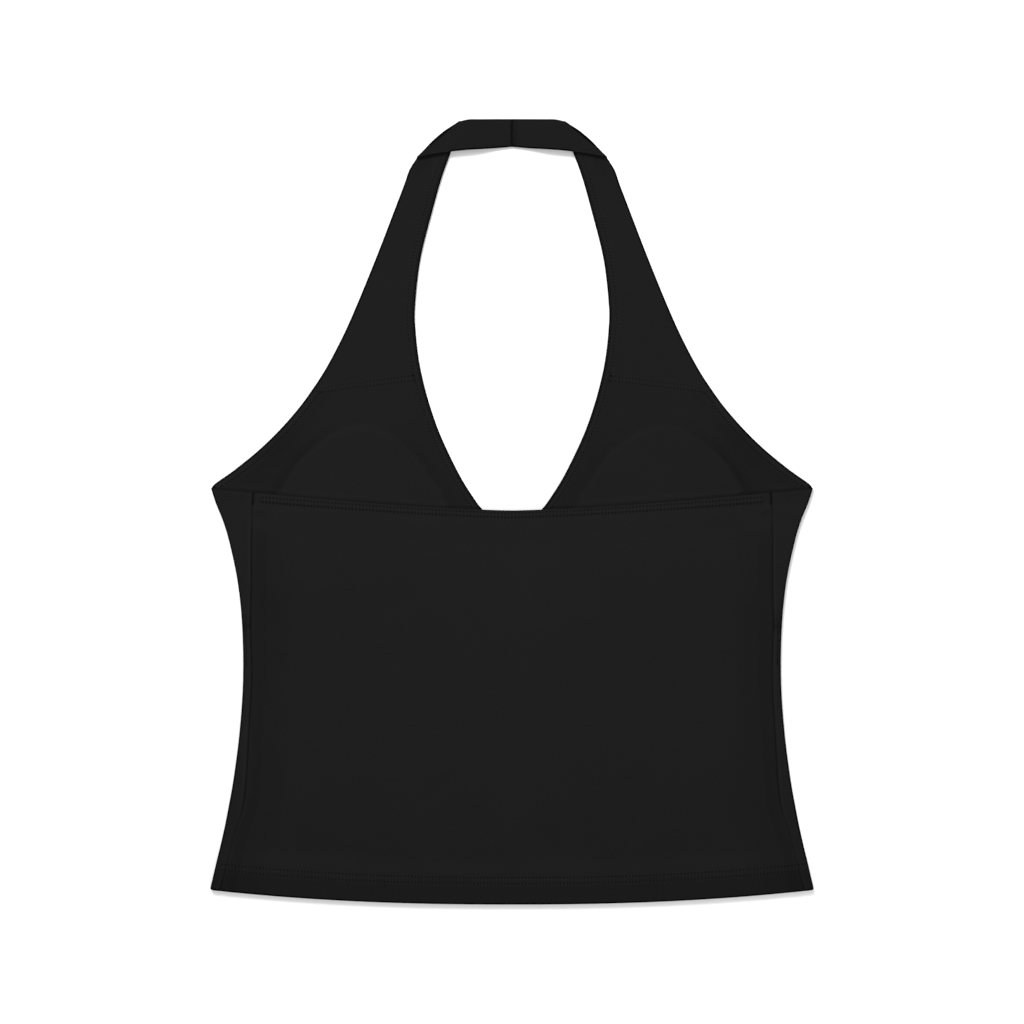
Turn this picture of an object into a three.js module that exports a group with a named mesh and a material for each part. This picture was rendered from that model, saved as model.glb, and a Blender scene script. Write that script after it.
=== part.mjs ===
// A halter neck top in stretch jersey, lying flat on a surface with its back side up.
// Millimetres, +Z up. The neck points along +Y, the hem along -Y, and the front panels lie lowest.
// The origin is under the middle of the garment, on the surface that it lies on.
//
// The front is the lowest layer. Below the armholes it turns round the sides and ends at the side
// seams on the back. Each strap folds over at the shoulder and runs behind the neck as a band.
// Plan shapes are worked out for the half with x > 0 and mirrored.
import * as THREE from "three";

// ---- Driving dimensions ----
const HALF_LENGTH = 250; // origin to the top of the neck band, and to the lowest point of the hem
const CLOTH = 1.0; // wall of one layer of jersey
const TURNED = 1.8; // wall where an edge is turned under and stitched down
const GAP = 0.3; // between pieces that are sewn or lie together
const HEM_DEPTH = 17.5; // turned hem
const CASING_DEPTH = 9; // turned top edge of the back panel
const EDGE_FADE = 4; // over which a turned edge thins out to one layer
const NECK_ROLL = 1.5; // the shell rolls this far past its facing at the neck edge
const ARM_ROLL = 1.0; // and this far at the armhole edge
const PAD_RIM = 1.0; // thickness of a bust pad at its edge
const PAD_CROWN = 3.0; // and in its middle
// Cloth over a pad is fully raised up to the first share of the pad's reach, and down at the second.
const LINING_RELIEF = { from: 1.05, to: 1.2 };
const BACK_RELIEF = { from: 1.15, to: 1.33 };

const SHELL_COLOUR = 0x1f1f20;
const LINING_COLOUR = 0x212122;
const PAD_COLOUR = 0x1b1b1c;
const JERSEY_ROUGHNESS = 0.9;

// ---- Plan shape of the body: half widths at the side fold and at the side seam ----
const BODY_SECTIONS = [
  { y: -240, side: 192.2, seam: 185.8 },
  { y: -228, side: 189.4, seam: 182.7 },
  { y: -204, side: 183.8, seam: 176.7 },
  { y: -190, side: 181.0, seam: 172.0 },
  { y: -171, side: 177.6, seam: 169.5 },
  { y: -140, side: 173.6, seam: 167.7 },
  { y: -107, side: 171.4, seam: 165.8 },
  { y: -72, side: 172.0, seam: 166.4 },
  { y: -44, side: 174.9, seam: 165.9 },
  { y: -18, side: 180.4, seam: 165.8 },
  { y: -5, side: 184.4, seam: 165.5 },
  { y: 6, side: 188.8, seam: 165.0 },
  { y: 15, side: 191.3, seam: 164.6 },
];

// ---- The neck edge from the bottom of the V up to the level of the armhole corner ----
const NECK_V = [
  { y: -18, x: 0 },
  { y: -9, x: 9.0 },
  { y: 3, x: 20.3 },
];

// ---- Ribs across bust and strap: armhole end and neck end of each, up to the shoulder fold ----
const RIBS = [
  { rib: 0, armX: 191.2, armY: 15.0, neckX: 19.1, neckY: 1.4 },
  { rib: 1, armX: 188.4, armY: 18.3, neckX: 23.4, neckY: 7.2 },
  { rib: 2, armX: 177.0, armY: 26.6, neckX: 31.6, neckY: 20.0 },
  { rib: 3, armX: 161.4, armY: 39.3, neckX: 39.6, neckY: 35.5 },
  { rib: 4, armX: 148.2, armY: 52.1, neckX: 47.0, neckY: 52.1 },
  { rib: 5, armX: 137.0, armY: 64.8, neckX: 52.8, neckY: 69.0 },
  { rib: 6, armX: 128.9, armY: 75.6, neckX: 56.9, neckY: 84.3 },
  { rib: 7, armX: 119.2, armY: 90.4, neckX: 59.6, neckY: 98.0 },
  { rib: 8, armX: 109.0, armY: 109.5, neckX: 61.5, neckY: 115.0 },
  { rib: 9, armX: 100.3, armY: 128.6, neckX: 61.8, neckY: 131.0 },
  { rib: 10, armX: 87.2, armY: 160.5, neckX: 58.4, neckY: 161.0 },
  { rib: 11, armX: 74.9, armY: 192.4, neckX: 50.6, neckY: 192.4 },
  { rib: 12, armX: 68.6, armY: 209.0, neckX: 44.5, neckY: 214.0 },
  { rib: 13, armX: 65.0, armY: 217.9, neckX: 38.4, neckY: 231.0 },
  { rib: 14, armX: 61.9, armY: 220.9, neckX: 30.3, neckY: 247.1 },
];
const LINING_SEAM_RIB = 6; // here the bust lining is sewn to the strap facing
const FOLD_RIB = 14; // here the strap folds over

// ---- Ribs across the neck band, from the shoulder fold to the centre back seam ----
const BAND_RIBS = [
  { rib: 0, armX: 61.9, armY: 220.9, neckX: 30.3, neckY: 247.1 },
  { rib: 1, armX: 48.0, armY: 227.3, neckX: 26.5, neckY: 249.4 },
  { rib: 2, armX: 32.0, armY: 230.0, neckX: 20.5, neckY: HALF_LENGTH },
  { rib: 3, armX: 14.0, armY: 231.4, neckX: 9.5, neckY: HALF_LENGTH },
  { rib: 4, armX: GAP / 2, armY: 232.7, neckX: GAP / 2, neckY: HALF_LENGTH },
];
const BAND_RAISED_FROM = 29; // beyond this half width the band lies on the strap
const BAND_DOWN_AT = 3; // inside this one it lies on the surface

// ---- A bust pad: its centre, and its reach in each direction, anticlockwise from +X ----
const PAD_CENTRE = { x: 97, y: -5 };
const PAD_REACHES = [
  { degrees: 0, reach: 56.5 },
  { degrees: 30, reach: 53.5 },
  { degrees: 60, reach: 55.0 },
  { degrees: 90, reach: 58.6 },
  { degrees: 120, reach: 55.5 },
  { degrees: 150, reach: 53.5 },
  { degrees: 180, reach: 58.5 },
  { degrees: 210, reach: 61.5 },
  { degrees: 240, reach: 60.0 },
  { degrees: 270, reach: 56.0 },
  { degrees: 300, reach: 59.5 },
  { degrees: 330, reach: 60.0 },
  { degrees: 360, reach: 56.5 },
];

// ---- Curves ----
const lerp = THREE.MathUtils.lerp;

function smoothTable(rows, key, column) {
  const keys = rows.map((row) => row[key]);
  const values = rows.map((row) => row[column]);
  const last = rows.length - 1;
  const slopes = values.map((_, i) => {
    const before = Math.max(i - 1, 0);
    const after = Math.min(i + 1, last);
    return (values[after] - values[before]) / (keys[after] - keys[before]);
  });
  return (at) => {
    let i = 0;
    while (i < last - 1 && at > keys[i + 1]) i += 1;
    const span = keys[i + 1] - keys[i];
    const t = THREE.MathUtils.clamp((at - keys[i]) / span, 0, 1);
    const ease = t * t * (3 - 2 * t);
    const bend = slopes[i] * t * (1 - t) * (1 - t) - slopes[i + 1] * t * t * (1 - t);
    return lerp(values[i], values[i + 1], ease) + bend * span;
  };
}

const sideAt = smoothTable(BODY_SECTIONS, "y", "side");
const seamAt = smoothTable(BODY_SECTIONS, "y", "seam");
const neckAt = smoothTable(NECK_V, "y", "x");
const padReachAt = smoothTable(PAD_REACHES, "degrees", "reach");

function ribEnds(table) {
  const [armX, armY, neckX, neckY] = ["armX", "armY", "neckX", "neckY"].map((column) =>
    smoothTable(table, "rib", column),
  );
  return (rib) => ({
    arm: new THREE.Vector2(armX(rib), armY(rib)),
    neck: new THREE.Vector2(neckX(rib), neckY(rib)),
  });
}

const strapEnds = ribEnds(RIBS);
const bandEnds = ribEnds(BAND_RIBS);

// Level lines that run across the body at half width x.
const HEM_RISE = 9.9;
const TOP_EDGE_MIDDLE = 0.8;
const TOP_EDGE_RISE = 14.2;
const BUST_SEAM_MIDDLE = -78;
const BUST_SEAM_RISE = 5;
const BUST_SEAM_HALF = 172;
const CORNER_HALF = 191.3;
const hemY = (x) => -HALF_LENGTH + HEM_RISE * (x / CORNER_HALF) ** 2.5;
const topEdgeY = (x) => TOP_EDGE_MIDDLE + TOP_EDGE_RISE * (x / CORNER_HALF) ** 1.4;
const bustSeamY = (x) => BUST_SEAM_MIDDLE + BUST_SEAM_RISE * (x / BUST_SEAM_HALF) ** 2;
const V_BOTTOM_SHARE = (NECK_V[0].y - BUST_SEAM_MIDDLE) / (TOP_EDGE_MIDDLE - BUST_SEAM_MIDDLE);

// ---- Heights ----
function padLift(x, y, relief) {
  const dx = Math.abs(x) - PAD_CENTRE.x;
  const dy = y - PAD_CENTRE.y;
  const degrees = (THREE.MathUtils.radToDeg(Math.atan2(dy, dx)) + 360) % 360;
  const share = Math.hypot(dx, dy) / padReachAt(degrees);
  const crown = (PAD_CROWN - PAD_RIM) * Math.max(0, 1 - share * share);
  const settle = 1 - THREE.MathUtils.smoothstep(share, relief.from, relief.to);
  return (PAD_RIM + GAP + crown) * settle;
}

function wallNear(y, edge, depth) {
  const inside = THREE.MathUtils.smoothstep(Math.abs(y - edge), depth, depth + EDGE_FADE);
  return lerp(TURNED, CLOTH, inside);
}

const frontWall = (x, y) => wallNear(y, hemY(Math.abs(x)), HEM_DEPTH);

// The underside of the back layer: on the front below the bust seam, on the lining above it.
const LINING_END_SLOPE = 18; // the back layer comes down over this length
function backUnderside(x, y) {
  const seam = bustSeamY(Math.abs(x));
  const overLining = THREE.MathUtils.smoothstep(y, seam - LINING_END_SLOPE, seam);
  return frontWall(x, y) + GAP + overLining * (CLOTH + GAP) + padLift(x, y, BACK_RELIEF);
}

function bandLift(x) {
  const raised = THREE.MathUtils.smoothstep(Math.abs(x), BAND_DOWN_AT, BAND_RAISED_FROM);
  return 2 * (CLOTH + GAP) * raised;
}

// ---- Thick sheets: grids of places, each with an under and an over point ----
class ThickSheet {
  constructor() {
    this.places = [];
    this.known = new Map();
    this.triangles = [];
  }

  place({ under, over }) {
    const key = [...under.toArray(), ...over.toArray()].map((n) => n.toFixed(3)).join();
    if (!this.known.has(key)) {
      this.known.set(key, this.places.length);
      this.places.push({ under, over });
    }
    return this.known.get(key);
  }

  triangle(a, b, c) {
    if (a !== b && b !== c && c !== a) this.triangles.push([a, b, c]);
  }

  // Rows run one way and places in a row the other, so that seen from over they turn anticlockwise.
  patch(rows) {
    const ids = rows.map((row) => row.map((place) => this.place(place)));
    for (let i = 0; i + 1 < ids.length; i += 1) {
      for (let j = 0; j + 1 < ids[i].length; j += 1) {
        this.triangle(ids[i][j], ids[i][j + 1], ids[i + 1][j + 1]);
        this.triangle(ids[i][j], ids[i + 1][j + 1], ids[i + 1][j]);
      }
    }
    return this;
  }

  bothSides(rows) {
    this.patch(rows);
    this.patch(rows.map((row) => row.map(mirrored).reverse()));
    return this;
  }

  geometry() {
    const count = this.places.length;
    const points = [...this.places.map((p) => p.under), ...this.places.map((p) => p.over)];
    const edges = new Set();
    const index = [];
    for (const [a, b, c] of this.triangles) {
      index.push(a + count, b + count, c + count, a, c, b);
      for (const [from, to] of [[a, b], [b, c], [c, a]]) edges.add(`${from},${to}`);
    }
    for (const edge of edges) {
      const [from, to] = edge.split(",").map(Number);
      if (edges.has(`${to},${from}`)) continue;
      index.push(from, to, to + count, from, to + count, from + count);
    }
    const geometry = new THREE.BufferGeometry();
    const flat = points.flatMap((point) => point.toArray());
    geometry.setAttribute("position", new THREE.Float32BufferAttribute(flat, 3));
    geometry.setIndex(index);
    geometry.computeVertexNormals();
    return geometry;
  }
}

function mirrored({ under, over }) {
  const flip = (point) => new THREE.Vector3(-point.x, point.y, point.z);
  return { under: flip(under), over: flip(over) };
}

function level(x, y, low, wall) {
  return { under: new THREE.Vector3(x, y, low), over: new THREE.Vector3(x, y, low + wall) };
}

const steps = (count) => Array.from({ length: count + 1 }, (_, i) => i / count);

// ---- Front shell ----
const ACROSS_FRONT = steps(3);
const TURN_STEPS = 5;
const ACROSS_WRAP = [1 / 2, 1];

// A level line of a body piece: share 0 on its lower edge and 1 on its upper one. The edges' half
// widths depend on the line's height there, so they are found by settling.
const SETTLE_ROUNDS = 12;
function bodyLine(lowerY, upperY, share) {
  const yAt = (x) => lerp(lowerY(x), upperY(x), share);
  let side = CORNER_HALF;
  let inner = 0;
  for (let i = 0; i < SETTLE_ROUNDS; i += 1) {
    side = sideAt(yAt(side));
    inner = yAt(0) < NECK_V[0].y ? 0 : neckAt(yAt(inner));
  }
  return { yAt, side, inner };
}

// Where the front turns round the side fold: the middle of the turn and its mean radius.
function sideTurn({ yAt, side }) {
  const y = yAt(side);
  const wall = frontWall(side, y);
  const radius = backUnderside(side, y) / 2;
  return { x: side - radius - wall / 2, y, z: radius + wall / 2, radius, wall };
}

function frontPlaces(line) {
  const turn = sideTurn(line);
  return ACROSS_FRONT.map((share) => {
    const x = lerp(line.inner, turn.x, share);
    return level(x, line.yAt(x), 0, frontWall(x, line.yAt(x)));
  });
}

function wrapPlaces(line) {
  const turn = sideTurn(line);
  const round = steps(TURN_STEPS).map((share) => {
    const angle = lerp(-Math.PI / 2, Math.PI / 2, share);
    const at = (reach) =>
      new THREE.Vector3(turn.x + reach * Math.cos(angle), turn.y, turn.z + reach * Math.sin(angle));
    return { under: at(turn.radius + turn.wall / 2), over: at(turn.radius - turn.wall / 2) };
  });
  round[0] = frontPlaces(line).at(-1);
  const end = seamAt(turn.y) + GAP / 2;
  const run = ACROSS_WRAP.map((share) => {
    const x = lerp(turn.x, end, share);
    const y = line.yAt(x);
    const low = backUnderside(x, y);
    const place = level(x, y, low, frontWall(x, y));
    return { under: place.over, over: place.under };
  });
  return [...round, ...run];
}

function strapPlaces(ends, across, low, wall) {
  return across.map((share) => {
    const at = new THREE.Vector2().lerpVectors(ends.neck, ends.arm, share);
    return level(at.x, at.y, low(at.x, at.y), wall);
  });
}

// The strap's turn at the shoulder: a half circle about the fold line, for a layer that lies at
// height low before the turn. Shell and facing turn about the same line.
const FOLD_MIDDLE = 2 * CLOTH + 1.5 * GAP;

function foldPlaces(across, low) {
  const ends = strapEnds(FOLD_RIB);
  const outward = new THREE.Vector2().subVectors(ends.arm, ends.neck);
  outward.set(-outward.y, outward.x).normalize();
  const reach = FOLD_MIDDLE - low;
  return steps(TURN_STEPS).slice(1, -1).map((share) => {
    const angle = lerp(-Math.PI / 2, Math.PI / 2, share);
    return across.map((along) => {
      const foot = new THREE.Vector2().lerpVectors(ends.neck, ends.arm, along);
      const at = (radius) => {
        const out = foot.clone().addScaledVector(outward, radius * Math.cos(angle));
        return new THREE.Vector3(out.x, out.y, FOLD_MIDDLE + radius * Math.sin(angle));
      };
      return { under: at(reach), over: at(reach - CLOTH) };
    });
  });
}

const RIB_STEP = 0.5; // places are worked out this often along the rib tables

function ribRange(from, to) {
  return steps(Math.round((to - from) / RIB_STEP)).map((share) => lerp(from, to, share));
}

function bandPlaces(across, inBand) {
  return ribRange(0, BAND_RIBS.length - 1).map((rib) =>
    strapPlaces(bandEnds(rib), across, (x) => inBand + bandLift(x), CLOTH).map(
      ({ under, over }) => ({ under: over, over: under }),
    ),
  );
}

// Rows from the bust seam to the top edge, and offsets from the hem to the bust seam.
const BUST_SHARES = [0, 0.12, 0.24, 0.37, 0.5, 0.63, V_BOTTOM_SHARE, 0.83, 0.89, 0.95, 1];
const BODY_LENGTH = BUST_SEAM_MIDDLE + HALF_LENGTH;
const HEM_OFFSETS = [0, HEM_DEPTH / 2, HEM_DEPTH, HEM_DEPTH + EDGE_FADE / 2, HEM_DEPTH + EDGE_FADE];
const BODY_OFFSETS = [...HEM_OFFSETS, 46, 70, 94, 118, 142, 152, 158, 165, BODY_LENGTH];

function frontUpper() {
  const lines = BUST_SHARES.map((share) =>
    bodyLine((x) => bustSeamY(x) + GAP / 2, topEdgeY, share),
  );
  const bust = lines.map(frontPlaces);
  const strap = ribRange(RIB_STEP, FOLD_RIB).map((rib) =>
    strapPlaces(strapEnds(rib), ACROSS_FRONT, () => 0, CLOTH),
  );
  const fold = foldPlaces(ACROSS_FRONT, 0);
  const band = bandPlaces(ACROSS_FRONT, CLOTH + GAP);
  return new ThickSheet()
    .bothSides([...bust, ...strap, ...fold, ...band])
    .bothSides(lines.map(wrapPlaces))
    .geometry();
}

function frontLower() {
  const lines = BODY_OFFSETS.map((offset) =>
    bodyLine(hemY, (x) => bustSeamY(x) - GAP / 2, offset / BODY_LENGTH),
  );
  return new ThickSheet()
    .bothSides(lines.map(frontPlaces))
    .bothSides(lines.map(wrapPlaces))
    .geometry();
}

// ---- Bust lining and strap facings, on the shell ----
const ACROSS_LINING = 12;
const LINING_SIDE_INSET = 2.4; // clear of the side turn
const LINING_FOOT = 2; // above the bust seam

function insetEnds(ends) {
  const along = new THREE.Vector2().subVectors(ends.arm, ends.neck).normalize();
  return {
    arm: ends.arm.clone().addScaledVector(along, -ARM_ROLL),
    neck: ends.neck.clone().addScaledVector(along, NECK_ROLL),
  };
}

const onShell = (x, y) => CLOTH + GAP + padLift(x, y, LINING_RELIEF);

function liningSeamEnds(sign) {
  const ends = insetEnds(strapEnds(LINING_SEAM_RIB));
  const shift = new THREE.Vector2(0, (sign * GAP) / 2);
  return { arm: ends.arm.add(shift), neck: ends.neck.add(shift) };
}

function bustLining() {
  const body = BUST_SHARES.map((share) => {
    const line = bodyLine((x) => bustSeamY(x) + LINING_FOOT, topEdgeY, share);
    const inner = line.inner > 0 ? line.inner + NECK_ROLL : 0;
    return steps(ACROSS_LINING).map((across) => {
      const x = lerp(inner, line.side - LINING_SIDE_INSET, across);
      return level(x, line.yAt(x), onShell(x, line.yAt(x)), CLOTH);
    });
  });
  const upper = ribRange(RIB_STEP, LINING_SEAM_RIB - RIB_STEP).map((rib) =>
    strapPlaces(insetEnds(strapEnds(rib)), steps(ACROSS_LINING), onShell, CLOTH),
  );
  const seam = strapPlaces(liningSeamEnds(-1), steps(ACROSS_LINING), onShell, CLOTH);
  return new ThickSheet().bothSides([...body, ...upper, seam]).geometry();
}

function strapFacing() {
  const across = steps(2);
  const fold = strapEnds(FOLD_RIB);
  const width = fold.arm.distanceTo(fold.neck);
  const inset = across.map((s) => lerp(NECK_ROLL, width - ARM_ROLL, s) / width);
  const seam = strapPlaces(liningSeamEnds(1), across, onShell, CLOTH);
  const strap = ribRange(LINING_SEAM_RIB + RIB_STEP, FOLD_RIB - RIB_STEP).map((rib) =>
    strapPlaces(insetEnds(strapEnds(rib)), across, onShell, CLOTH),
  );
  const foldRow = strapPlaces(fold, inset, onShell, CLOTH);
  const turn = foldPlaces(inset, CLOTH + GAP);
  const band = bandPlaces(inset, 0);
  return new ThickSheet().patch([seam, ...strap, foldRow, ...turn, ...band]).geometry();
}

// ---- Bust pads, between shell and lining ----
const PAD_RINGS = [0, 0.4, 0.7, 0.9, 1];
const PAD_DIRECTIONS = 20;

function bustPad() {
  const rows = steps(PAD_DIRECTIONS).map((turn) => {
    const degrees = 360 * turn;
    const reach = padReachAt(degrees);
    const angle = THREE.MathUtils.degToRad(degrees % 360);
    return PAD_RINGS.map((ring) => {
      const x = PAD_CENTRE.x + ring * reach * Math.cos(angle);
      const y = PAD_CENTRE.y + ring * reach * Math.sin(angle);
      return level(x, y, CLOTH + GAP, lerp(PAD_CROWN, PAD_RIM, ring * ring));
    });
  });
  return new ThickSheet().patch(rows).geometry();
}

// ---- Back panel, on top ----
const ACROSS_BACK = 13;

function backPanel() {
  const body = BODY_OFFSETS.map((offset) => bodyLine(hemY, bustSeamY, offset / BODY_LENGTH));
  const bust = BUST_SHARES.slice(1).map((share) => bodyLine(bustSeamY, topEdgeY, share));
  const rows = [...body, ...bust].map((line) => {
    const half = seamAt(line.yAt(line.side)) - GAP / 2;
    return steps(ACROSS_BACK).map((share) => {
      const x = half * share;
      const y = line.yAt(x);
      const wall = Math.max(frontWall(x, y), wallNear(y, topEdgeY(x), CASING_DEPTH));
      return level(x, y, backUnderside(x, y), wall);
    });
  });
  return new ThickSheet().bothSides(rows).geometry();
}

// ---- The garment ----
function piece(name, geometry, colour) {
  const material = new THREE.MeshStandardMaterial({
    color: colour,
    roughness: JERSEY_ROUGHNESS,
    metalness: 0,
  });
  const mesh = new THREE.Mesh(geometry, material);
  mesh.name = name;
  return mesh;
}

// The same piece for the half with x < 0, its triangles turned to face out again.
function leftOf(geometry) {
  const left = geometry.clone();
  left.scale(-1, 1, 1);
  const index = left.getIndex().array;
  for (let i = 0; i < index.length; i += 3) {
    [index[i], index[i + 1]] = [index[i + 1], index[i]];
  }
  return left;
}

const garment = new THREE.Group();
garment.add(
  piece("front_upper", frontUpper(), SHELL_COLOUR),
  piece("front_lower", frontLower(), SHELL_COLOUR),
  piece("bust_lining", bustLining(), LINING_COLOUR),
  piece("back_panel", backPanel(), SHELL_COLOUR),
);
const pairs = [
  { name: "strap_facing", make: strapFacing, colour: LINING_COLOUR },
  { name: "bust_pad", make: bustPad, colour: PAD_COLOUR },
];
for (const { name, make, colour } of pairs) {
  const geometry = make();
  garment.add(piece(`${name}_right`, geometry, colour));
  garment.add(piece(`${name}_left`, leftOf(geometry), colour));
}

export default garment;
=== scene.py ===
"""A halter neck top in dark stretch jersey, lying flat with its back side up, round its frame."""

import math

import bpy
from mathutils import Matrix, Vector
import numpy as np


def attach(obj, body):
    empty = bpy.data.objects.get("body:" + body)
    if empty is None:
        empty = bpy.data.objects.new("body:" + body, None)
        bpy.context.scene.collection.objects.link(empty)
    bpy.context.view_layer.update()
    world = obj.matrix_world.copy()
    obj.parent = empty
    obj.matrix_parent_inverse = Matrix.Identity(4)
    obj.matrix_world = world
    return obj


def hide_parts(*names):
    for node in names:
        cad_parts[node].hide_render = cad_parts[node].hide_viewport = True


bl_info = {
    "name": "Halter neck top",
    "version": (1, 0, 0),
    "blender": (4, 5, 0),
    "location": "View3D > Sidebar > Halter top",
    "description": "Makes the cloth, pads and stitching of a halter neck top that lies flat",
    "category": "Object",
}

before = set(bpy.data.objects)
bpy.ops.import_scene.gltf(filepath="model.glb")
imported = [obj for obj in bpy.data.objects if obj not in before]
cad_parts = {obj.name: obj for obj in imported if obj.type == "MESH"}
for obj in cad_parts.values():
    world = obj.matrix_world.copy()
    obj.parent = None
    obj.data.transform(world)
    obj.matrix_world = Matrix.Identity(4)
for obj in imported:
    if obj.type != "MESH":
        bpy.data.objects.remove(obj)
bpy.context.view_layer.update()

MM = 0.001  # the tables and lengths below are in millimetres
HALF_LENGTH = 250  # origin to the neck band's top edge, and to the hem's lowest point
PAD_RIM = 1.0
PAD_CROWN = 3.0
STITCH_PITCH = 2.2


# ---- Sizes and colours that a user would change ----
def length_property(name, description, default):
    return bpy.props.FloatProperty(
        name=name, description=description, default=default * MM,
        unit="LENGTH", subtype="DISTANCE", precision=5)


def colour_property(name, description, default):
    return bpy.props.FloatVectorProperty(
        name=name, description=description, default=default, subtype="COLOR", min=0, max=1)


class HalterSizes(bpy.types.PropertyGroup):
    pad_crown: length_property("Pad crown", "Thickness of a pad in its middle", PAD_CROWN)
    pad_rim: length_property("Pad rim", "Thickness of a pad at its edge", PAD_RIM)
    stitch: length_property("Stitch", "Length of one stitch", STITCH_PITCH)
    thread: length_property("Thread", "Thickness of the sewing thread", 0.36)


class HalterColours(bpy.types.PropertyGroup):
    shell: colour_property("Shell", "Jersey of the outside", (0.0086, 0.0086, 0.0088))
    lining: colour_property("Lining", "Jersey of lining and facing", (0.0083, 0.0083, 0.0085))
    pad: colour_property("Pad", "Cover of the bust pads", (0.0084, 0.0084, 0.0085))
    thread: colour_property("Thread", "Sewing thread", (0.0092, 0.0092, 0.0094))
    ground: colour_property("Ground", "The floor", (0.9, 0.9, 0.9))


# ---- Plan shape of the body: half widths at the side fold and at the side seam ----
BODY_SECTIONS = {
    "y": (-240, -228, -204, -190, -171, -140, -107, -72, -44, -18, -5, 6, 15),
    "side": (192.2, 189.4, 183.8, 181.0, 177.6, 173.6, 171.4, 172.0, 174.9, 180.4, 184.4,
             188.9, 191.8),
    "seam": (185.8, 182.7, 176.7, 172.0, 169.5, 167.7, 165.8, 166.4, 165.9, 165.8, 165.5,
             165.0, 164.6),
}
NECK_V = {"y": (-18, -9, 3), "x": (0, 9.0, 20.3)}

# ---- Ribs across bust and strap, from the armhole corner to the shoulder fold ----
RIBS = {
    "rib": tuple(range(15)),
    "arm_x": (191.7, 188.7, 177.0, 161.4, 148.2, 137.0, 128.9, 119.2, 109.0, 100.3, 87.2,
              74.9, 68.6, 65.4, 60.6),
    "arm_y": (15.0, 18.3, 26.6, 39.3, 52.1, 64.8, 75.6, 90.4, 109.5, 128.6, 160.5, 192.4,
              209.0, 218.0, 225.7),
    "neck_x": (19.1, 23.4, 31.6, 39.6, 47.0, 52.8, 56.9, 59.6, 61.5, 61.8, 58.4, 50.6,
               44.5, 38.4, 33.0),
    "neck_y": (1.4, 7.2, 20.0, 35.5, 52.1, 69.0, 84.3, 98.0, 115.0, 131.0, 161.0, 192.4,
               214.0, 231.0, 248.6),
}
LINING_SEAM_RIB = 6
FOLD_RIB = 14
BAND_RIBS = {
    "rib": tuple(range(5)),
    "arm_x": (60.6, 47.5, 32.0, 14.0, 0.0),
    "arm_y": (225.7, 228.2, 230.0, 231.4, 232.7),
    "neck_x": (33.0, 27.5, 20.5, 9.5, 0.0),
    "neck_y": (248.6, 249.8, HALF_LENGTH, 250.3, 250.4),
}
BAND_RAISED_FROM = 29
BAND_DOWN_AT = 3

# ---- A bust pad: centre, and reach in each direction, anticlockwise from +X ----
PAD_CENTRE = (97, -5)
PAD_REACHES = {
    "degrees": tuple(range(0, 361, 30)),
    "reach": (56.5, 53.5, 55.0, 58.6, 55.5, 53.5, 58.5, 61.5, 60.0, 56.0, 59.5, 60.0, 56.5),
}


# ---- Curves ----
def lerp(low, high, share):
    return low + (high - low) * share


def smoothstep(value, low, high):
    t = np.clip((value - low) / (high - low), 0, 1)
    return t * t * (3 - 2 * t)


def bump(distance, width):
    """1 on a line and falling off smoothly beside it."""
    return np.exp(-((distance / width) ** 2))


class SmoothTable:
    """A smooth curve through one column of a table."""

    def __init__(self, rows, key, column):
        self.keys = np.array(rows[key], float)
        self.values = np.array(rows[column], float)
        before = np.maximum(np.arange(len(self.keys)) - 1, 0)
        after = np.minimum(np.arange(len(self.keys)) + 1, len(self.keys) - 1)
        self.slopes = ((self.values[after] - self.values[before])
                       / (self.keys[after] - self.keys[before]))

    def __call__(self, at):
        i = np.clip(np.searchsorted(self.keys, at, side="left") - 1, 0, len(self.keys) - 2)
        span = self.keys[i + 1] - self.keys[i]
        t = np.clip((at - self.keys[i]) / span, 0, 1)
        ease = t * t * (3 - 2 * t)
        bend = self.slopes[i] * t * (1 - t) ** 2 - self.slopes[i + 1] * t * t * (1 - t)
        return lerp(self.values[i], self.values[i + 1], ease) + bend * span


side_at = SmoothTable(BODY_SECTIONS, "y", "side")
seam_at = SmoothTable(BODY_SECTIONS, "y", "seam")
neck_at = SmoothTable(NECK_V, "y", "x")
pad_reach_at = SmoothTable(PAD_REACHES, "degrees", "reach")


class RibEnds:
    """The armhole and neck end of each rib of a table, as points of a plan."""

    def __init__(self, table):
        self.columns = [SmoothTable(table, "rib", name)
                        for name in ("arm_x", "arm_y", "neck_x", "neck_y")]

    def __call__(self, rib):
        arm_x, arm_y, neck_x, neck_y = (float(column(rib)) for column in self.columns)
        return np.array((neck_x, neck_y)), np.array((arm_x, arm_y))


strap_ends = RibEnds(RIBS)
band_ends = RibEnds(BAND_RIBS)

MOST_SLANT = 1.7


def slants(ends, rib, last):
    """How much longer a distance in from each edge is along a rib, which crosses it at a slant."""
    low, high = max(rib - 0.3, 0.0), min(rib + 0.3, float(last))
    (neck_a, arm_a), (neck_b, arm_b) = ends(low), ends(high)
    neck, arm = ends(rib)
    along = (arm - neck) / np.hypot(*(arm - neck))
    made = []
    for a, b in ((neck_a, neck_b), (arm_a, arm_b)):
        edge = (b - a) / np.hypot(*(b - a))
        made.append(min(MOST_SLANT, 1 / max(abs(edge[0] * along[1] - edge[1] * along[0]), 0.1)))
    return made


def edge_runs():
    """Length along the neck edge and the armhole edge up to each rib, and the ribs."""
    ribs = np.linspace(0, len(RIBS["rib"]) - 1, 561)
    ends = np.array([np.concatenate(strap_ends(rib)) for rib in ribs])
    steps = np.diff(ends, axis=0)
    neck = np.r_[0, np.cumsum(np.hypot(steps[:, 0], steps[:, 1]))]
    arm = np.r_[0, np.cumsum(np.hypot(steps[:, 2], steps[:, 3]))]
    return ribs, neck, arm


RUN_RIBS, NECK_RUN, ARM_RUN = edge_runs()

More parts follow.
